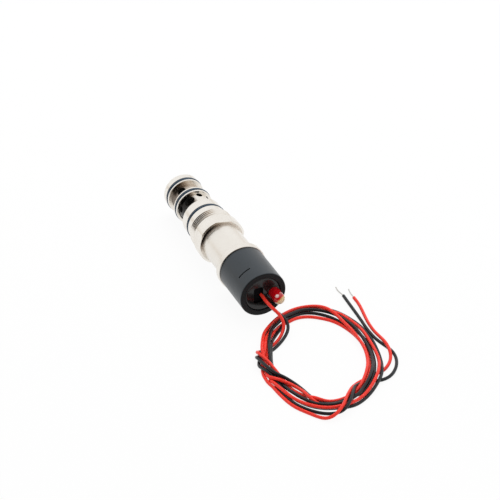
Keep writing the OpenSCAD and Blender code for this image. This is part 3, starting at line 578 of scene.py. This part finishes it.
def rounded(corners):
    """The outline with its corners rounded, and a line of support on both sides of each rounding."""
    points = []
    for i, (r, y, fillet) in enumerate(corners):
        here = Vector((r, y))
        if not fillet:
            points.append(here)
            continue
        back = (Vector(corners[i - 1][:2]) - here).normalized()
        ahead = (Vector(corners[(i + 1) % len(corners)][:2]) - here).normalized()
        half = back.angle(ahead) / 2
        cut = fillet / math.tan(half)
        centre = here + (back + ahead).normalized() * (fillet / math.sin(half))
        first = here + back * cut - centre
        last = here + ahead * cut - centre
        start = math.atan2(first.y, first.x)
        sweep = (math.atan2(last.y, last.x) - start + math.pi) % (2 * math.pi) - math.pi
        points.append(here + back * (cut + SUPPORT))
        for k in range(ARC_STEPS + 1):
            a = start + sweep * k / ARC_STEPS
            points.append(centre + Vector((math.cos(a), math.sin(a))) * fillet)
        points.append(here + ahead * (cut + SUPPORT))
    return points


def piece_from(bm, name, finish):
    """An object from the faces, smooth except at sharp edges."""
    bmesh.ops.recalc_face_normals(bm, faces=bm.faces)
    mesh = bpy.data.meshes.new(name)
    bm.to_mesh(mesh)
    bm.free()
    soften(mesh)
    mesh.materials.append(finish)
    return put(name, mesh)


def soften(mesh):
    mesh.polygons.foreach_set("use_smooth", [True] * len(mesh.polygons))
    mesh.set_sharp_from_angle(angle=SHARP)


def turned_mesh(outline, sides=SIDES, wave=None):
    """Faces of an outline turned round the valve axis; wave changes the way from the axis."""
    bm = bmesh.new()
    rings = []
    for r, y in outline:
        if r < ON_AXIS:
            rings.append([bm.verts.new((0, y * MM, 0))])
            continue
        ring = []
        for i in range(sides):
            a = 2 * math.pi * i / sides
            out = wave(a, r, y) if wave else r
            ring.append(bm.verts.new((out * math.cos(a) * MM, y * MM, out * math.sin(a) * MM)))
        rings.append(ring)
    for ring, after in zip(rings, rings[1:] + rings[:1]):
        if len(ring) + len(after) == 2:
            continue
        for i in range(sides):
            j = (i + 1) % sides
            corners = (ring[i % len(ring)], ring[j % len(ring)], after[j % len(after)], after[i % len(after)])
            bm.faces.new(dict.fromkeys(corners))
    return bm


def turned(name, corners, finish, sides=SIDES, wave=None):
    return piece_from(turned_mesh(rounded(corners), sides, wave), name, finish)


def lofted(sections):
    """Faces of a closed skin through sections with equal numbers of points."""
    bm = bmesh.new()
    rings = [[bm.verts.new((x * MM, y * MM, z * MM)) for x, y, z in section] for section in sections]
    for here, after in zip(rings, rings[1:]):
        for i in range(len(here)):
            j = (i + 1) % len(here)
            bm.faces.new((here[i], here[j], after[j], after[i]))
    bm.faces.new(rings[0])
    bm.faces.new(rings[-1])
    return bm


def cut_away(piece, cutters):
    """Takes the cutters' room out of the piece."""
    group = bpy.data.collections.new("cutters")
    scene.collection.children.link(group)
    for cutter in cutters:
        scene.collection.objects.unlink(cutter)
        group.objects.link(cutter)
    mod = piece.modifiers.new("cut", "BOOLEAN")
    mod.operation = "DIFFERENCE"
    mod.solver = "EXACT"
    mod.operand_type = "COLLECTION"
    mod.collection = group
    result = bpy.data.meshes.new_from_object(piece.evaluated_get(bpy.context.evaluated_depsgraph_get()))
    piece.modifiers.clear()
    plain = piece.data
    piece.data = result
    result.name = piece.name
    bpy.data.meshes.remove(plain)
    for cutter in cutters:
        bpy.data.meshes.remove(cutter.data)
    bpy.data.collections.remove(group)
    soften(result)


def wear(piece, slot, *stands_for):
    """Rides on the housing and stands for the nodes. The slot is not used."""
    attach(piece, "housing")
    if stands_for:
        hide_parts(*stands_for)


# Valve body, in millimetres along the axis from the seating face

POLE_FRONT, COLLAR_BACK, NECK_END, THREAD_END = -7.5, -5.0, 2.6, 6.6
REAR_LAND_END, REAR_PORT_END, MID_LAND_END, FRONT_PORT_END, TIP = 16.5, 24.5, 27.9, 33.9, 40.3
COLLAR_R, NECK_R, THREAD_R, REAR_LAND_R, NOSE_R = 10.8, 9.7, 10.0, 9.1, 8.4
BARREL_BORE_R, SPIGOT_BORE_R, CHAMBER_R = 7.9, 5.0, 3.5
SEAT_R, SEAT_LIP_R, HEAD_CHAMBER_R = 2.6, 3.2, 5.6
SOCKET_END, CHAMBER_END, SEAT_END, SEAT_LIP_END = 1.6, 24.8, 27.2, 27.6
EDGE, LIP, INSIDE = 0.2, 0.08, 0.15
CHAMFER_AT, CHAMFER_R = 38.9, 7.59
RING_W, RING_PROUD, RING_GROOVE_W = 1.5, 0.2, 1.65
REAR_RING_Y, MID_RING_Y, FRONT_RING_Y = 11.3, 26.2, 35.6
THREAD_PITCH, THREAD_DEPTH, THREAD_EDGE, THREAD_RUN_OUT = 1.0, 0.36, 0.3, 0.6
# Shares of half a turn that the flat root and then the flank take up
THREAD_ROOT, THREAD_FLANK = 0.16, 0.66
THREAD_ROWS, BODY_SIDES = 64, 144
# The painted shade in the corner behind the collar reaches this far out
CORNER_SHADE_TO_R = 9.9


def thread_skin(y):
    """Outside of the thread blank with its broken edges."""
    edge = THREAD_R - THREAD_EDGE
    return min(THREAD_R, edge + (y - NECK_END), edge + (THREAD_END - y))


def thread_wave(angle, r, y):
    """Turns of the thread: flat crests and roots with straight flanks, running out at the neck."""
    if r < NECK_R - HAIR or not NECK_END < y <= THREAD_END:
        return r
    turn = (y / THREAD_PITCH - angle / (2 * math.pi)) % 1
    flank = (abs(2 * turn - 1) - THREAD_ROOT) / THREAD_FLANK
    depth = THREAD_DEPTH * min(1, max(0, 1 - flank))
    depth *= min(1, (y - NECK_END) / THREAD_RUN_OUT)
    return min(r, THREAD_R - depth)


def ring_groove(r, y):
    """Corners of an O-ring groove in a land."""
    bottom = r + RING_PROUD - RING_W
    back, front = y - RING_GROOVE_W / 2, y + RING_GROOVE_W / 2
    return [(r, back, LIP), (bottom, back, 0), (bottom, front, 0), (r, front, LIP)]


thread_rows = [NECK_END + (THREAD_END - NECK_END) * k / THREAD_ROWS for k in range(THREAD_ROWS + 1)]
body = turned("body_turned", [
    (SPIGOT_BORE_R, POLE_FRONT, LIP), (BARREL_BORE_R - FIT, POLE_FRONT, EDGE),
    (BARREL_BORE_R - FIT, COLLAR_BACK, 0), (CORNER_SHADE_TO_R, COLLAR_BACK, 0),
    (COLLAR_R, COLLAR_BACK, EDGE), (COLLAR_R, 0, EDGE), (NECK_R, 0, INSIDE),
    *[(thread_skin(y), y, 0) for y in thread_rows], (REAR_LAND_R, THREAD_END, 0),
    *ring_groove(REAR_LAND_R, REAR_RING_Y), (REAR_LAND_R, REAR_LAND_END, EDGE),
    (REAR_GROOVE_R, REAR_LAND_END, INSIDE), (REAR_GROOVE_R, REAR_PORT_END, INSIDE),
    (NOSE_R, REAR_PORT_END, EDGE), *ring_groove(NOSE_R, MID_RING_Y), (NOSE_R, MID_LAND_END, EDGE),
    (FRONT_GROOVE_R, MID_LAND_END, INSIDE), (FRONT_GROOVE_R, FRONT_PORT_END, INSIDE),
    (NOSE_R, FRONT_PORT_END, EDGE), *ring_groove(NOSE_R, FRONT_RING_Y), (NOSE_R, CHAMFER_AT, EDGE),
    (CHAMFER_R, TIP, INSIDE), (HEAD_CHAMBER_R, TIP, INSIDE), (HEAD_CHAMBER_R, SEAT_END, 0),
    (SEAT_LIP_R, SEAT_END, 0), (SEAT_LIP_R, SEAT_LIP_END, LIP), (SEAT_R, SEAT_LIP_END, LIP),
    (SEAT_R, CHAMBER_END, 0), (CHAMBER_R, CHAMBER_END, 0), (CHAMBER_R, SOCKET_END, 0),
    (SPIGOT_BORE_R, SOCKET_END, 0),
], nickel, BODY_SIDES, thread_wave)

# Rows of ports: place, diameter, turn of the first from the X axis, where the drill starts
PORT_COUNT = 4
REAR_PORTS = (21.4, 5.0, 31, 2.52)
BLEED_PORTS = (22.9, 2.8, 76, 2.5)
FRONT_PORTS = (30.9, 4.0, 31, 4.8)
DRILL_TO, DRILL_SIDES = 12.0, 64


def drill(turn, port_y, port_d, drill_from):
    """The room of one port, from inside the body to the open air."""
    outline = [(0, drill_from), (port_d / 2, drill_from), (port_d / 2, DRILL_TO), (0, DRILL_TO)]
    room = piece_from(turned_mesh(outline, DRILL_SIDES), "drill", nickel)
    a = math.radians(turn)
    room.data.transform(Matrix((
        (0, math.cos(a), -math.sin(a), 0),
        (-1, 0, 0, port_y * MM),
        (0, math.sin(a), math.cos(a), 0),
        (0, 0, 0, 1),
    )))
    return room


def drills(port_y, port_d, first_turn, drill_from):
    return [drill(first_turn + 360 * i / PORT_COUNT, port_y, port_d, drill_from) for i in range(PORT_COUNT)]


# Wrench flats: milled from the rear and ended by the cutter's own curve
FLAT_COUNT, FLAT_WAY, FLAT_LEN, FLAT_CUTTER_R, FLAT_TURN = 4, 10.0, 2.7, 3.2, 80
FLAT_OUT, FLAT_HALF, FLAT_STEPS = 14.0, 5.0, 20


def flat_cutter(turn):
    """The room that a milled flat takes, as its outline drawn out across the collar."""
    end = COLLAR_BACK + FLAT_LEN
    outline = [(FLAT_OUT, COLLAR_BACK - OVERCUT), (FLAT_WAY, COLLAR_BACK - OVERCUT)]
    for k in range(FLAT_STEPS + 1):
        a = math.pi / 2 * k / FLAT_STEPS
        outline.append((FLAT_WAY + FLAT_CUTTER_R * (1 - math.cos(a)), end + FLAT_CUTTER_R * math.sin(a)))
    outline.append((FLAT_OUT, end + FLAT_CUTTER_R))
    sections = [[(r, y, z) for r, y in outline] for z in (-FLAT_HALF, FLAT_HALF)]
    cutter = piece_from(lofted(sections), "flat", nickel)
    cutter.data.transform(Matrix.Rotation(-math.radians(turn), 4, "Y"))
    return cutter


flats = [flat_cutter(FLAT_TURN + 360 * i / FLAT_COUNT) for i in range(FLAT_COUNT)]
cut_away(body, drills(*REAR_PORTS) + drills(*FRONT_PORTS) + flats)
cut_away(body, drills(*BLEED_PORTS))
for finish in (rear_groove_shaded_nickel, front_groove_shaded_nickel, bore_shade, collar_corner_shade):
    body.data.materials.append(finish)
# Places of those finishes on the body, which paint shade in the grooves, the bores and the corner behind the
# collar, and how far from a groove's bottom the painted shade reaches
REAR_SHADED, FRONT_SHADED, BORE_SHADED, CORNER_SHADED = 1, 2, 3, 4
SHADE_REACH = 0.3
for face in body.data.polygons:
    way, y = math.hypot(face.center.x, face.center.z) / MM, face.center.y / MM
    in_front_port = way < FRONT_GROOVE_R - SHADE_REACH
    in_rear_port = way < REAR_GROOVE_R - SHADE_REACH and y < REAR_PORT_END
    if in_front_port or in_rear_port:
        face.material_index = BORE_SHADED
    elif REAR_LAND_END < y < REAR_PORT_END and way < REAR_GROOVE_R + SHADE_REACH:
        face.material_index = REAR_SHADED
    elif MID_LAND_END < y < FRONT_PORT_END and way < FRONT_GROOVE_R + SHADE_REACH:
        face.material_index = FRONT_SHADED
    elif abs(y - COLLAR_BACK) < HAIR and way < CORNER_SHADE_TO_R:
        face.material_index = CORNER_SHADED
wear(body, "plated_alloy", "valve_body")

# O-rings with the line of the mould round them

FLASH, RING_STEPS = 0.035, 32


def ring_outline(land_r, y):
    """Section of an O-ring in its groove."""
    middle = land_r + RING_PROUD - RING_W / 2
    points = []
    for k in range(RING_STEPS):
        a = 2 * math.pi * k / RING_STEPS
        r = RING_W / 2 - FLASH + (FLASH if k in (0, RING_STEPS // 2) else 0)
        points.append((middle + r * math.cos(a), y + r * math.sin(a)))
    return points


for name, land_r, ring_y in (("front", NOSE_R, FRONT_RING_Y), ("middle", NOSE_R, MID_RING_Y),
                             ("rear", REAR_LAND_R, REAR_RING_Y)):
    ring = piece_from(turned_mesh(ring_outline(land_r, ring_y)), name + "_seal_ring", rubber)
    wear(ring, "seal_rubber", name + "_o_ring")

# Return spring, built at one length; in the valve it shortens as the stem comes forward

SPRING_BACK, SPRING_LEN, SPRING_R, SPRING_WIRE_R = 33.04, 5.5, 2.05, 0.25
SPRING_TURNS, END_TURNS, SPRING_STEPS, WIRE_SIDES = 5, 0.6, 48, 16


def spring_sections():
    """Round wire on a helix whose first and last turns lie flat."""
    sections = []
    for i in range(SPRING_TURNS * SPRING_STEPS + 1):
        turn = i / SPRING_STEPS
        share = (turn - END_TURNS) / (SPRING_TURNS - 2 * END_TURNS)
        rise = (SPRING_LEN - 2 * SPRING_WIRE_R) * min(1, max(0, share))
        a = 2 * math.pi * turn
        section = []
        for k in range(WIRE_SIDES):
            b = 2 * math.pi * k / WIRE_SIDES
            way = SPRING_R + SPRING_WIRE_R * math.cos(b)
            y = SPRING_BACK + SPRING_WIRE_R + rise + SPRING_WIRE_R * math.sin(b)
            section.append((way * math.cos(a), y, way * math.sin(a)))
        sections.append(section)
    return sections


spring = piece_from(lofted(spring_sections()), "spring_wound", steel)
wear(spring, "spring_steel", "return_spring")
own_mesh(spring)

# Barrel with its flange

FLANGE_FRONT, FLANGE_BACK, SPIGOT_BACK, BARREL_R, FLARE = -23.5, -26.5, -30.5, 8.9, 1.2
# A dull band beside the collar
SATIN_LEN = 1.5
barrel = turned("barrel_turned", [
    (BARREL_BORE_R, SPIGOT_BACK, LIP), (BARREL_R, SPIGOT_BACK, EDGE), (BARREL_R, FLANGE_BACK, 0),
    (COLLAR_R, FLANGE_BACK, EDGE), (COLLAR_R, FLANGE_FRONT, EDGE), (BARREL_R, FLANGE_FRONT, FLARE),
    (BARREL_R, COLLAR_BACK - SATIN_LEN, 0), (BARREL_R, COLLAR_BACK, LIP), (BARREL_BORE_R, COLLAR_BACK, LIP),
], barrel_nickel)
barrel.data.materials.append(face_dull)
for face in barrel.data.polygons:
    if face.center.y > (COLLAR_BACK - SATIN_LEN) * MM:
        face.material_index = 1
wear(barrel, "nickel_plate", "barrel")

# End cap with its latch slit

CAP_END, CAP_R, CAP_BORE_R, CAP_EDGE = -47.2, 10.3, 7.9, 0.5
BOARD_FRONT, BOARD_SEAT_R = -39.0, 7.2
SLIT_Y, SLIT_W, SLIT_DEPTH, SLIT_FROM, SLIT_TO, SLIT_STEPS = -40.5, 0.6, 1.2, 107, 141, 24
# Where the painted shade of the end face and of the slit applies, a darker and duller finish than the rest of
# the cap
END_BAND, END_FACING, SLIT_FLOOR = 0.12, -0.6, 0.5


def slit_sections():
    """The room of the slit, a bar bent round the cap."""
    sections = []
    bottom, top = CAP_R - SLIT_DEPTH, CAP_R + OVERCUT
    for k in range(SLIT_STEPS + 1):
        a = math.radians(SLIT_FROM + (SLIT_TO - SLIT_FROM) * k / SLIT_STEPS)
        section = []
        for r, side in ((bottom, -1), (top, -1), (top, 1), (bottom, 1)):
            section.append((r * math.cos(a), SLIT_Y + side * SLIT_W / 2, r * math.sin(a)))
        sections.append(section)
    return sections


cap = turned("cap_moulded", [
    (CAP_R, CAP_END, CAP_EDGE), (CAP_R, FLANGE_BACK, INSIDE), (BARREL_R + FIT, FLANGE_BACK, LIP),
    (BARREL_R + FIT, SPIGOT_BACK - FIT, 0), (BOARD_SEAT_R, SPIGOT_BACK - FIT, 0),
    (BOARD_SEAT_R, BOARD_FRONT, 0), (CAP_BORE_R, BOARD_FRONT, 0), (CAP_BORE_R, CAP_END, INSIDE),
], cap_black)
cut_away(cap, [piece_from(lofted(slit_sections()), "slit", cap_black)])
cap.data.materials.append(cap_end_shade)
for face in cap.data.polygons:
    on_end = face.center.y < (CAP_END + END_BAND) * MM and face.normal.y < END_FACING
    way = math.hypot(face.center.x, face.center.z) / MM
    beside_slit = abs(face.center.y / MM - SLIT_Y) < SLIT_W
    if on_end or beside_slit and CAP_BORE_R + SLIT_FLOOR < way < CAP_R - FIT:
        face.material_index = 1
wear(cap, "cap_plastic", "end_cap")

# Potting: resin that has shrunk from the cap and climbs the lamp, with a well round the leads that is painted
# with shade, a dull near-black finish

POTTING_FRONT, POTTING_R = -42.8, 7.88
WELL_X, WELL_Z, WELL_W, WELL_H, WELL_R, WELL_DEPTH, WELL_STEPS = -2.0, 0.0, 4.2, 7.4, 0.8, 0.9, 8
POTTING_ROWS, POTTING_SIDES = 80, 192
# How far the resin has sunk at the cap and climbed at the lamp, and over what distance each fades
SINK, SINK_RUN, CLIMB, CLIMB_RUN = 0.5, 0.15, 0.25, 0.2
FRONT_MARGIN = 0.1


def potting_skin(x, z):
    """How far the resin stands out of the cap at one place."""
    lift = -SINK * math.exp(-(POTTING_R - math.hypot(x, z)) / SINK_RUN)
    from_lamp = max(0, math.hypot(x - LAMP_X, z - LAMP_Z) - LAMP_FOOT_R)
    return lift + CLIMB * math.exp(-from_lamp / CLIMB_RUN)


def potting_mesh():
    """A disc of resin: its free face in rings round the middle, its side and its flat front."""
    bm = bmesh.new()
    rings = [[bm.verts.new((0, (POTTING_BACK - potting_skin(0, 0)) * MM, 0))]]
    for k in range(1, POTTING_ROWS + 1):
        ring = []
        for i in range(POTTING_SIDES):
            a = 2 * math.pi * i / POTTING_SIDES
            x, z = (POTTING_R * k / POTTING_ROWS * f for f in (math.cos(a), math.sin(a)))
            ring.append(bm.verts.new((x * MM, (POTTING_BACK - potting_skin(x, z)) * MM, z * MM)))
        rings.append(ring)
    rings.append([bm.verts.new((v.co.x, POTTING_FRONT * MM, v.co.z)) for v in rings[-1]])
    for ring, after in zip(rings, rings[1:]):
        for i in range(POTTING_SIDES):
            j = (i + 1) % POTTING_SIDES
            bm.faces.new(dict.fromkeys((ring[i % len(ring)], after[i], after[j], ring[j % len(ring)])))
    bm.faces.new(rings[-1])
    return bm


def well_sections():
    """The room of the well, an upright oblong with rounded corners."""
    outline = []
    for k in range(4 * (WELL_STEPS + 1)):
        corner, step = divmod(k, WELL_STEPS + 1)
        a = math.pi / 2 * (corner + step / WELL_STEPS)
        quarter = math.pi / 4 + math.pi / 2 * corner
        x = WELL_X + math.copysign(WELL_W / 2 - WELL_R, math.cos(quarter)) + WELL_R * math.cos(a)
        z = WELL_Z + math.copysign(WELL_H / 2 - WELL_R, math.sin(quarter)) + WELL_R * math.sin(a)
        outline.append((x, z))
    return [[(x, y, z) for x, z in outline] for y in (CAP_END - OVERCUT, POTTING_BACK + WELL_DEPTH)]


potting = piece_from(potting_mesh(), "potting_poured", resin_black)
cut_away(potting, [piece_from(lofted(well_sections()), "well", resin_black)])
potting.data.materials.append(well_shade)
for face in potting.data.polygons:
    x, z = face.center.x / MM - WELL_X, face.center.z / MM - WELL_Z
    inside = max(abs(x) - WELL_W / 2, abs(z) - WELL_H / 2) < HAIR
    if inside and POTTING_BACK + HAIR < face.center.y / MM < POTTING_FRONT - FRONT_MARGIN:
        face.material_index = 1
wear(potting, "potting_resin", "potting")

# Indicator lamp: a clear dome over a red core; the dome's colour paints refracted light, golden on one side

DOME_STEPS, LAMP_SIDES = 14, 96
# Depths in the resin, and the core: its cup up to the shoulder, its post up to the dome, roundings
LAMP_ROOT, CORE_ROOT = 1, 0.8
CUP_R, CUP_TOP, CUP_ROUND = 2.2, 2.2, 0.4
POST_R, POST_FROM, POST_ROUND, POST_DOME, POST_RISE = 1.1, 2.8, 0.2, 4.0, 0.6


def lamp_part(name, back, foot, r, shoulder, rise, finish):
    """A round body with a domed end, standing beside the axis."""
    dome = []
    for k in range(DOME_STEPS + 1):
        a = math.pi / 2 * k / DOME_STEPS
        dome.append((r * math.cos(a) if k < DOME_STEPS else 0, shoulder - rise * math.sin(a), 0))
    part = turned(name, [(0, back, 0), *foot, *dome], finish, LAMP_SIDES)
    part.data.transform(Matrix.Translation((LAMP_X * MM, 0, LAMP_Z * MM)))
    return part


lamp_shell = lamp_part("lamp_dome", POTTING_BACK + LAMP_ROOT, [
    (LAMP_FOOT_R, POTTING_BACK + LAMP_ROOT, LIP), (LAMP_FOOT_R, POTTING_BACK, LIP),
    (LAMP_R, POTTING_BACK, 0),
], LAMP_R, DOME_FROM, LAMP_R, lamp_clear)
wear(lamp_shell, "lamp_resin", "indicator_lamp")
lamp_core = lamp_part("lamp_core", POTTING_BACK + CORE_ROOT, [
    (CUP_R, POTTING_BACK + CORE_ROOT, LIP), (CUP_R, POTTING_BACK - CUP_TOP, CUP_ROUND),
    (POST_R, POTTING_BACK - POST_FROM, POST_ROUND),
], POST_R, POTTING_BACK - POST_DOME, POST_RISE, lamp_red)
wear(lamp_core, "lamp_resin")

# Tinned strands at the bare ends of the leads

RED_TIP = [
    (39.6, -53.4, -10.1), (39.6, -52.4, -10.1), (39.7, -50.4, -10.2), (39.9, -48.4, -10.3),
    (40.4, -46, -10.3),
]
BLACK_TIP = [
    (36.1, -50.4, -10.1), (36.2, -49.4, -10.1), (36, -47.4, -10.2), (35.8, -45.2, -10.3),
    (36.1, -42.4, -10.3),
]
STRANDS, STRAND_R, STRAND_WAY, STRAND_LAY = 6, 0.105, 0.195, 5.0
STRAND_STEP, STRAND_ROUND = 0.2, 3


def strand_bundle(name, keys):
    """A core strand with others twisted round it."""
    line = smooth_line(keys, STRAND_STEP)
    ahead = np.gradient(line, axis=0)
    ahead /= np.linalg.norm(ahead, axis=1)[:, None]
    side = np.cross(ahead, (0, 0, 1))
    side /= np.linalg.norm(side, axis=1)[:, None]
    up = np.cross(side, ahead)
    run = np.concatenate([[0], np.cumsum(np.linalg.norm(np.diff(line, axis=0), axis=1))])
    strands = []
    for s in range(STRANDS + 1):
        twist = (2 * math.pi * (s / STRANDS + run / STRAND_LAY))[:, None]
        way = STRAND_WAY if s < STRANDS else 0
        strands.append(line + way * (np.cos(twist) * side + np.sin(twist) * up))
    return tube_curve(name, strands, STRAND_R, STRAND_ROUND, tinned)


red_strands = strand_bundle("red_strands", RED_TIP)
wear(red_strands, "tinned_copper", "red_tip")
black_strands = strand_bundle("black_strands", BLACK_TIP)
wear(black_strands, "tinned_copper", "black_tip")

# Both leads as cords

wear(red_wire, "red_insulation", "red_lead", "lead_loop", "red_tail")
wear(black_wire, "black_insulation", "black_lead", "black_tail")

# Floor: white to the camera, with a soft shadow; in reflections its far end is dark

FLOOR_HALF = 6
FLOOR_GLOW = 0.93
FLOOR_COLOR = (0.92, 0.92, 0.92, 1)
FLOOR_SIGNS = ((-1, -1), (1, -1), (1, 1), (-1, 1))
# Towards the dark end of the room, metres from the origin and the sheet's colour in reflections
SHEET_END = Vector((-0.67, -0.74, 0))
SHEET_RAMP = [(0.09, (1, 1, 1)), (0.16, (0.5, 0.42, 0.34)), (0.28, (0.05, 0.04, 0.03))]
floor_corners = [(x * FLOOR_HALF, y * FLOOR_HALF, FLOOR_Z * MM) for x, y in FLOOR_SIGNS]
floor_mesh = bpy.data.meshes.new("floor")
floor_mesh.from_pydata(floor_corners, [], [(0, 1, 2, 3)])
floor = put("floor", floor_mesh)


def seen_by(tree, *rays):
    """1 for the named kinds of ray."""
    path = tree.nodes.new("ShaderNodeLightPath")
    result = path.outputs[rays[0]]
    for ray in rays[1:]:
        either = add(tree.nodes, "ShaderNodeMath", operation="MAXIMUM")
        tree.links.new(result, either.inputs[0])
        tree.links.new(path.outputs[ray], either.inputs[1])
        result = either.outputs[0]
    return result


floor_mat = bpy.data.materials.new("floor")
floor_mat.use_nodes = True
tree = floor_mat.node_tree
tree.nodes.remove(tree.nodes["Principled BSDF"])
matte = add(tree.nodes, "ShaderNodeBsdfDiffuse", Color=FLOOR_COLOR)
glow = add(tree.nodes, "ShaderNodeEmission", Strength=1.0)
place = tree.nodes.new("ShaderNodeTexCoord")
sheet = ramp_from(tree, along(tree, place.outputs["Object"], SHEET_END), SHEET_RAMP)
tree.links.new(blend_colors(tree, seen_by(tree, "Is Glossy Ray"), WHITE, sheet), glow.inputs["Color"])
share = add(tree.nodes, "ShaderNodeMath", operation="MULTIPLY")
share.inputs[1].default_value = FLOOR_GLOW
tree.links.new(seen_by(tree, "Is Camera Ray", "Is Glossy Ray", "Is Transmission Ray"), share.inputs[0])
surface = blend_shaders(tree, share.outputs[0], matte.outputs[0], glow.outputs[0])
tree.links.new(surface, tree.nodes["Material Output"].inputs["Surface"])
floor_mesh.materials.append(floor_mat)

# World: a pale studio; in reflections its end behind the camera is dark

WORLD_LIGHT = 0.6
DARK_END = Vector((-0.66, -0.73, 0.18)).normalized()
# Share of the way round to the dark end, and the colour there
DARK_RAMP = [
    (0.60, (1, 1, 1)), (0.72, (0.58, 0.50, 0.42)), (0.82, (0.24, 0.18, 0.13)), (0.93, (0.02, 0.017, 0.014)),
]
# The same by height above the horizon
HORIZON_RAMP = [(0.0, (0.66, 0.58, 0.50)), (0.05, (0.86, 0.81, 0.75)), (0.22, (1, 1, 1))]
world = bpy.data.worlds.new("studio")
scene.world = world
world.use_nodes = True
tree = world.node_tree
plain = tree.nodes["Background"]
plain.inputs["Color"].default_value = WHITE
plain.inputs["Strength"].default_value = WORLD_LIGHT
white = add(tree.nodes, "ShaderNodeBackground", Color=WHITE, Strength=1.0)
room = add(tree.nodes, "ShaderNodeBackground", Strength=1.0)
towards = tree.nodes.new("ShaderNodeTexCoord").outputs["Generated"]
# From -1 to 1 into 0 to 1
halved = add(tree.nodes, "ShaderNodeMath", operation="MULTIPLY_ADD")
halved.inputs[1].default_value = 0.5
halved.inputs[2].default_value = 0.5
tree.links.new(along(tree, towards, DARK_END), halved.inputs[0])
split = tree.nodes.new("ShaderNodeSeparateXYZ")
tree.links.new(towards, split.inputs[0])
dark = ramp_from(tree, halved.outputs[0], DARK_RAMP)
low = ramp_from(tree, split.outputs["Z"], HORIZON_RAMP)
tree.links.new(blend_colors(tree, 1.0, dark, low, "MULTIPLY"), room.inputs["Color"])
mirrored = blend_shaders(tree, seen_by(tree, "Is Glossy Ray"), plain.outputs[0], room.outputs[0])
seen = seen_by(tree, "Is Camera Ray", "Is Transmission Ray")
direct = blend_shaders(tree, seen, mirrored, white.outputs[0])
tree.links.new(direct, tree.nodes["World Output"].inputs["Surface"])

# One large soft lamp above and behind

KEY_SIZE, KEY_WATTS = 1.2, 9.0
KEY_PLACE, KEY_AIM = Vector((0.35, 0.45, 0.95)), Vector((0, -0.03, 0))
key_data = bpy.data.lights.new("key", "AREA")
key_data.shape = "SQUARE"
key_data.size = KEY_SIZE
key_data.energy = KEY_WATTS
key = put("key", key_data)
key.location = KEY_PLACE
key.rotation_euler = (KEY_AIM - KEY_PLACE).to_track_quat("-Z", "Y").to_euler()
key.visible_glossy = False
scene.view_settings.view_transform = "Standard"
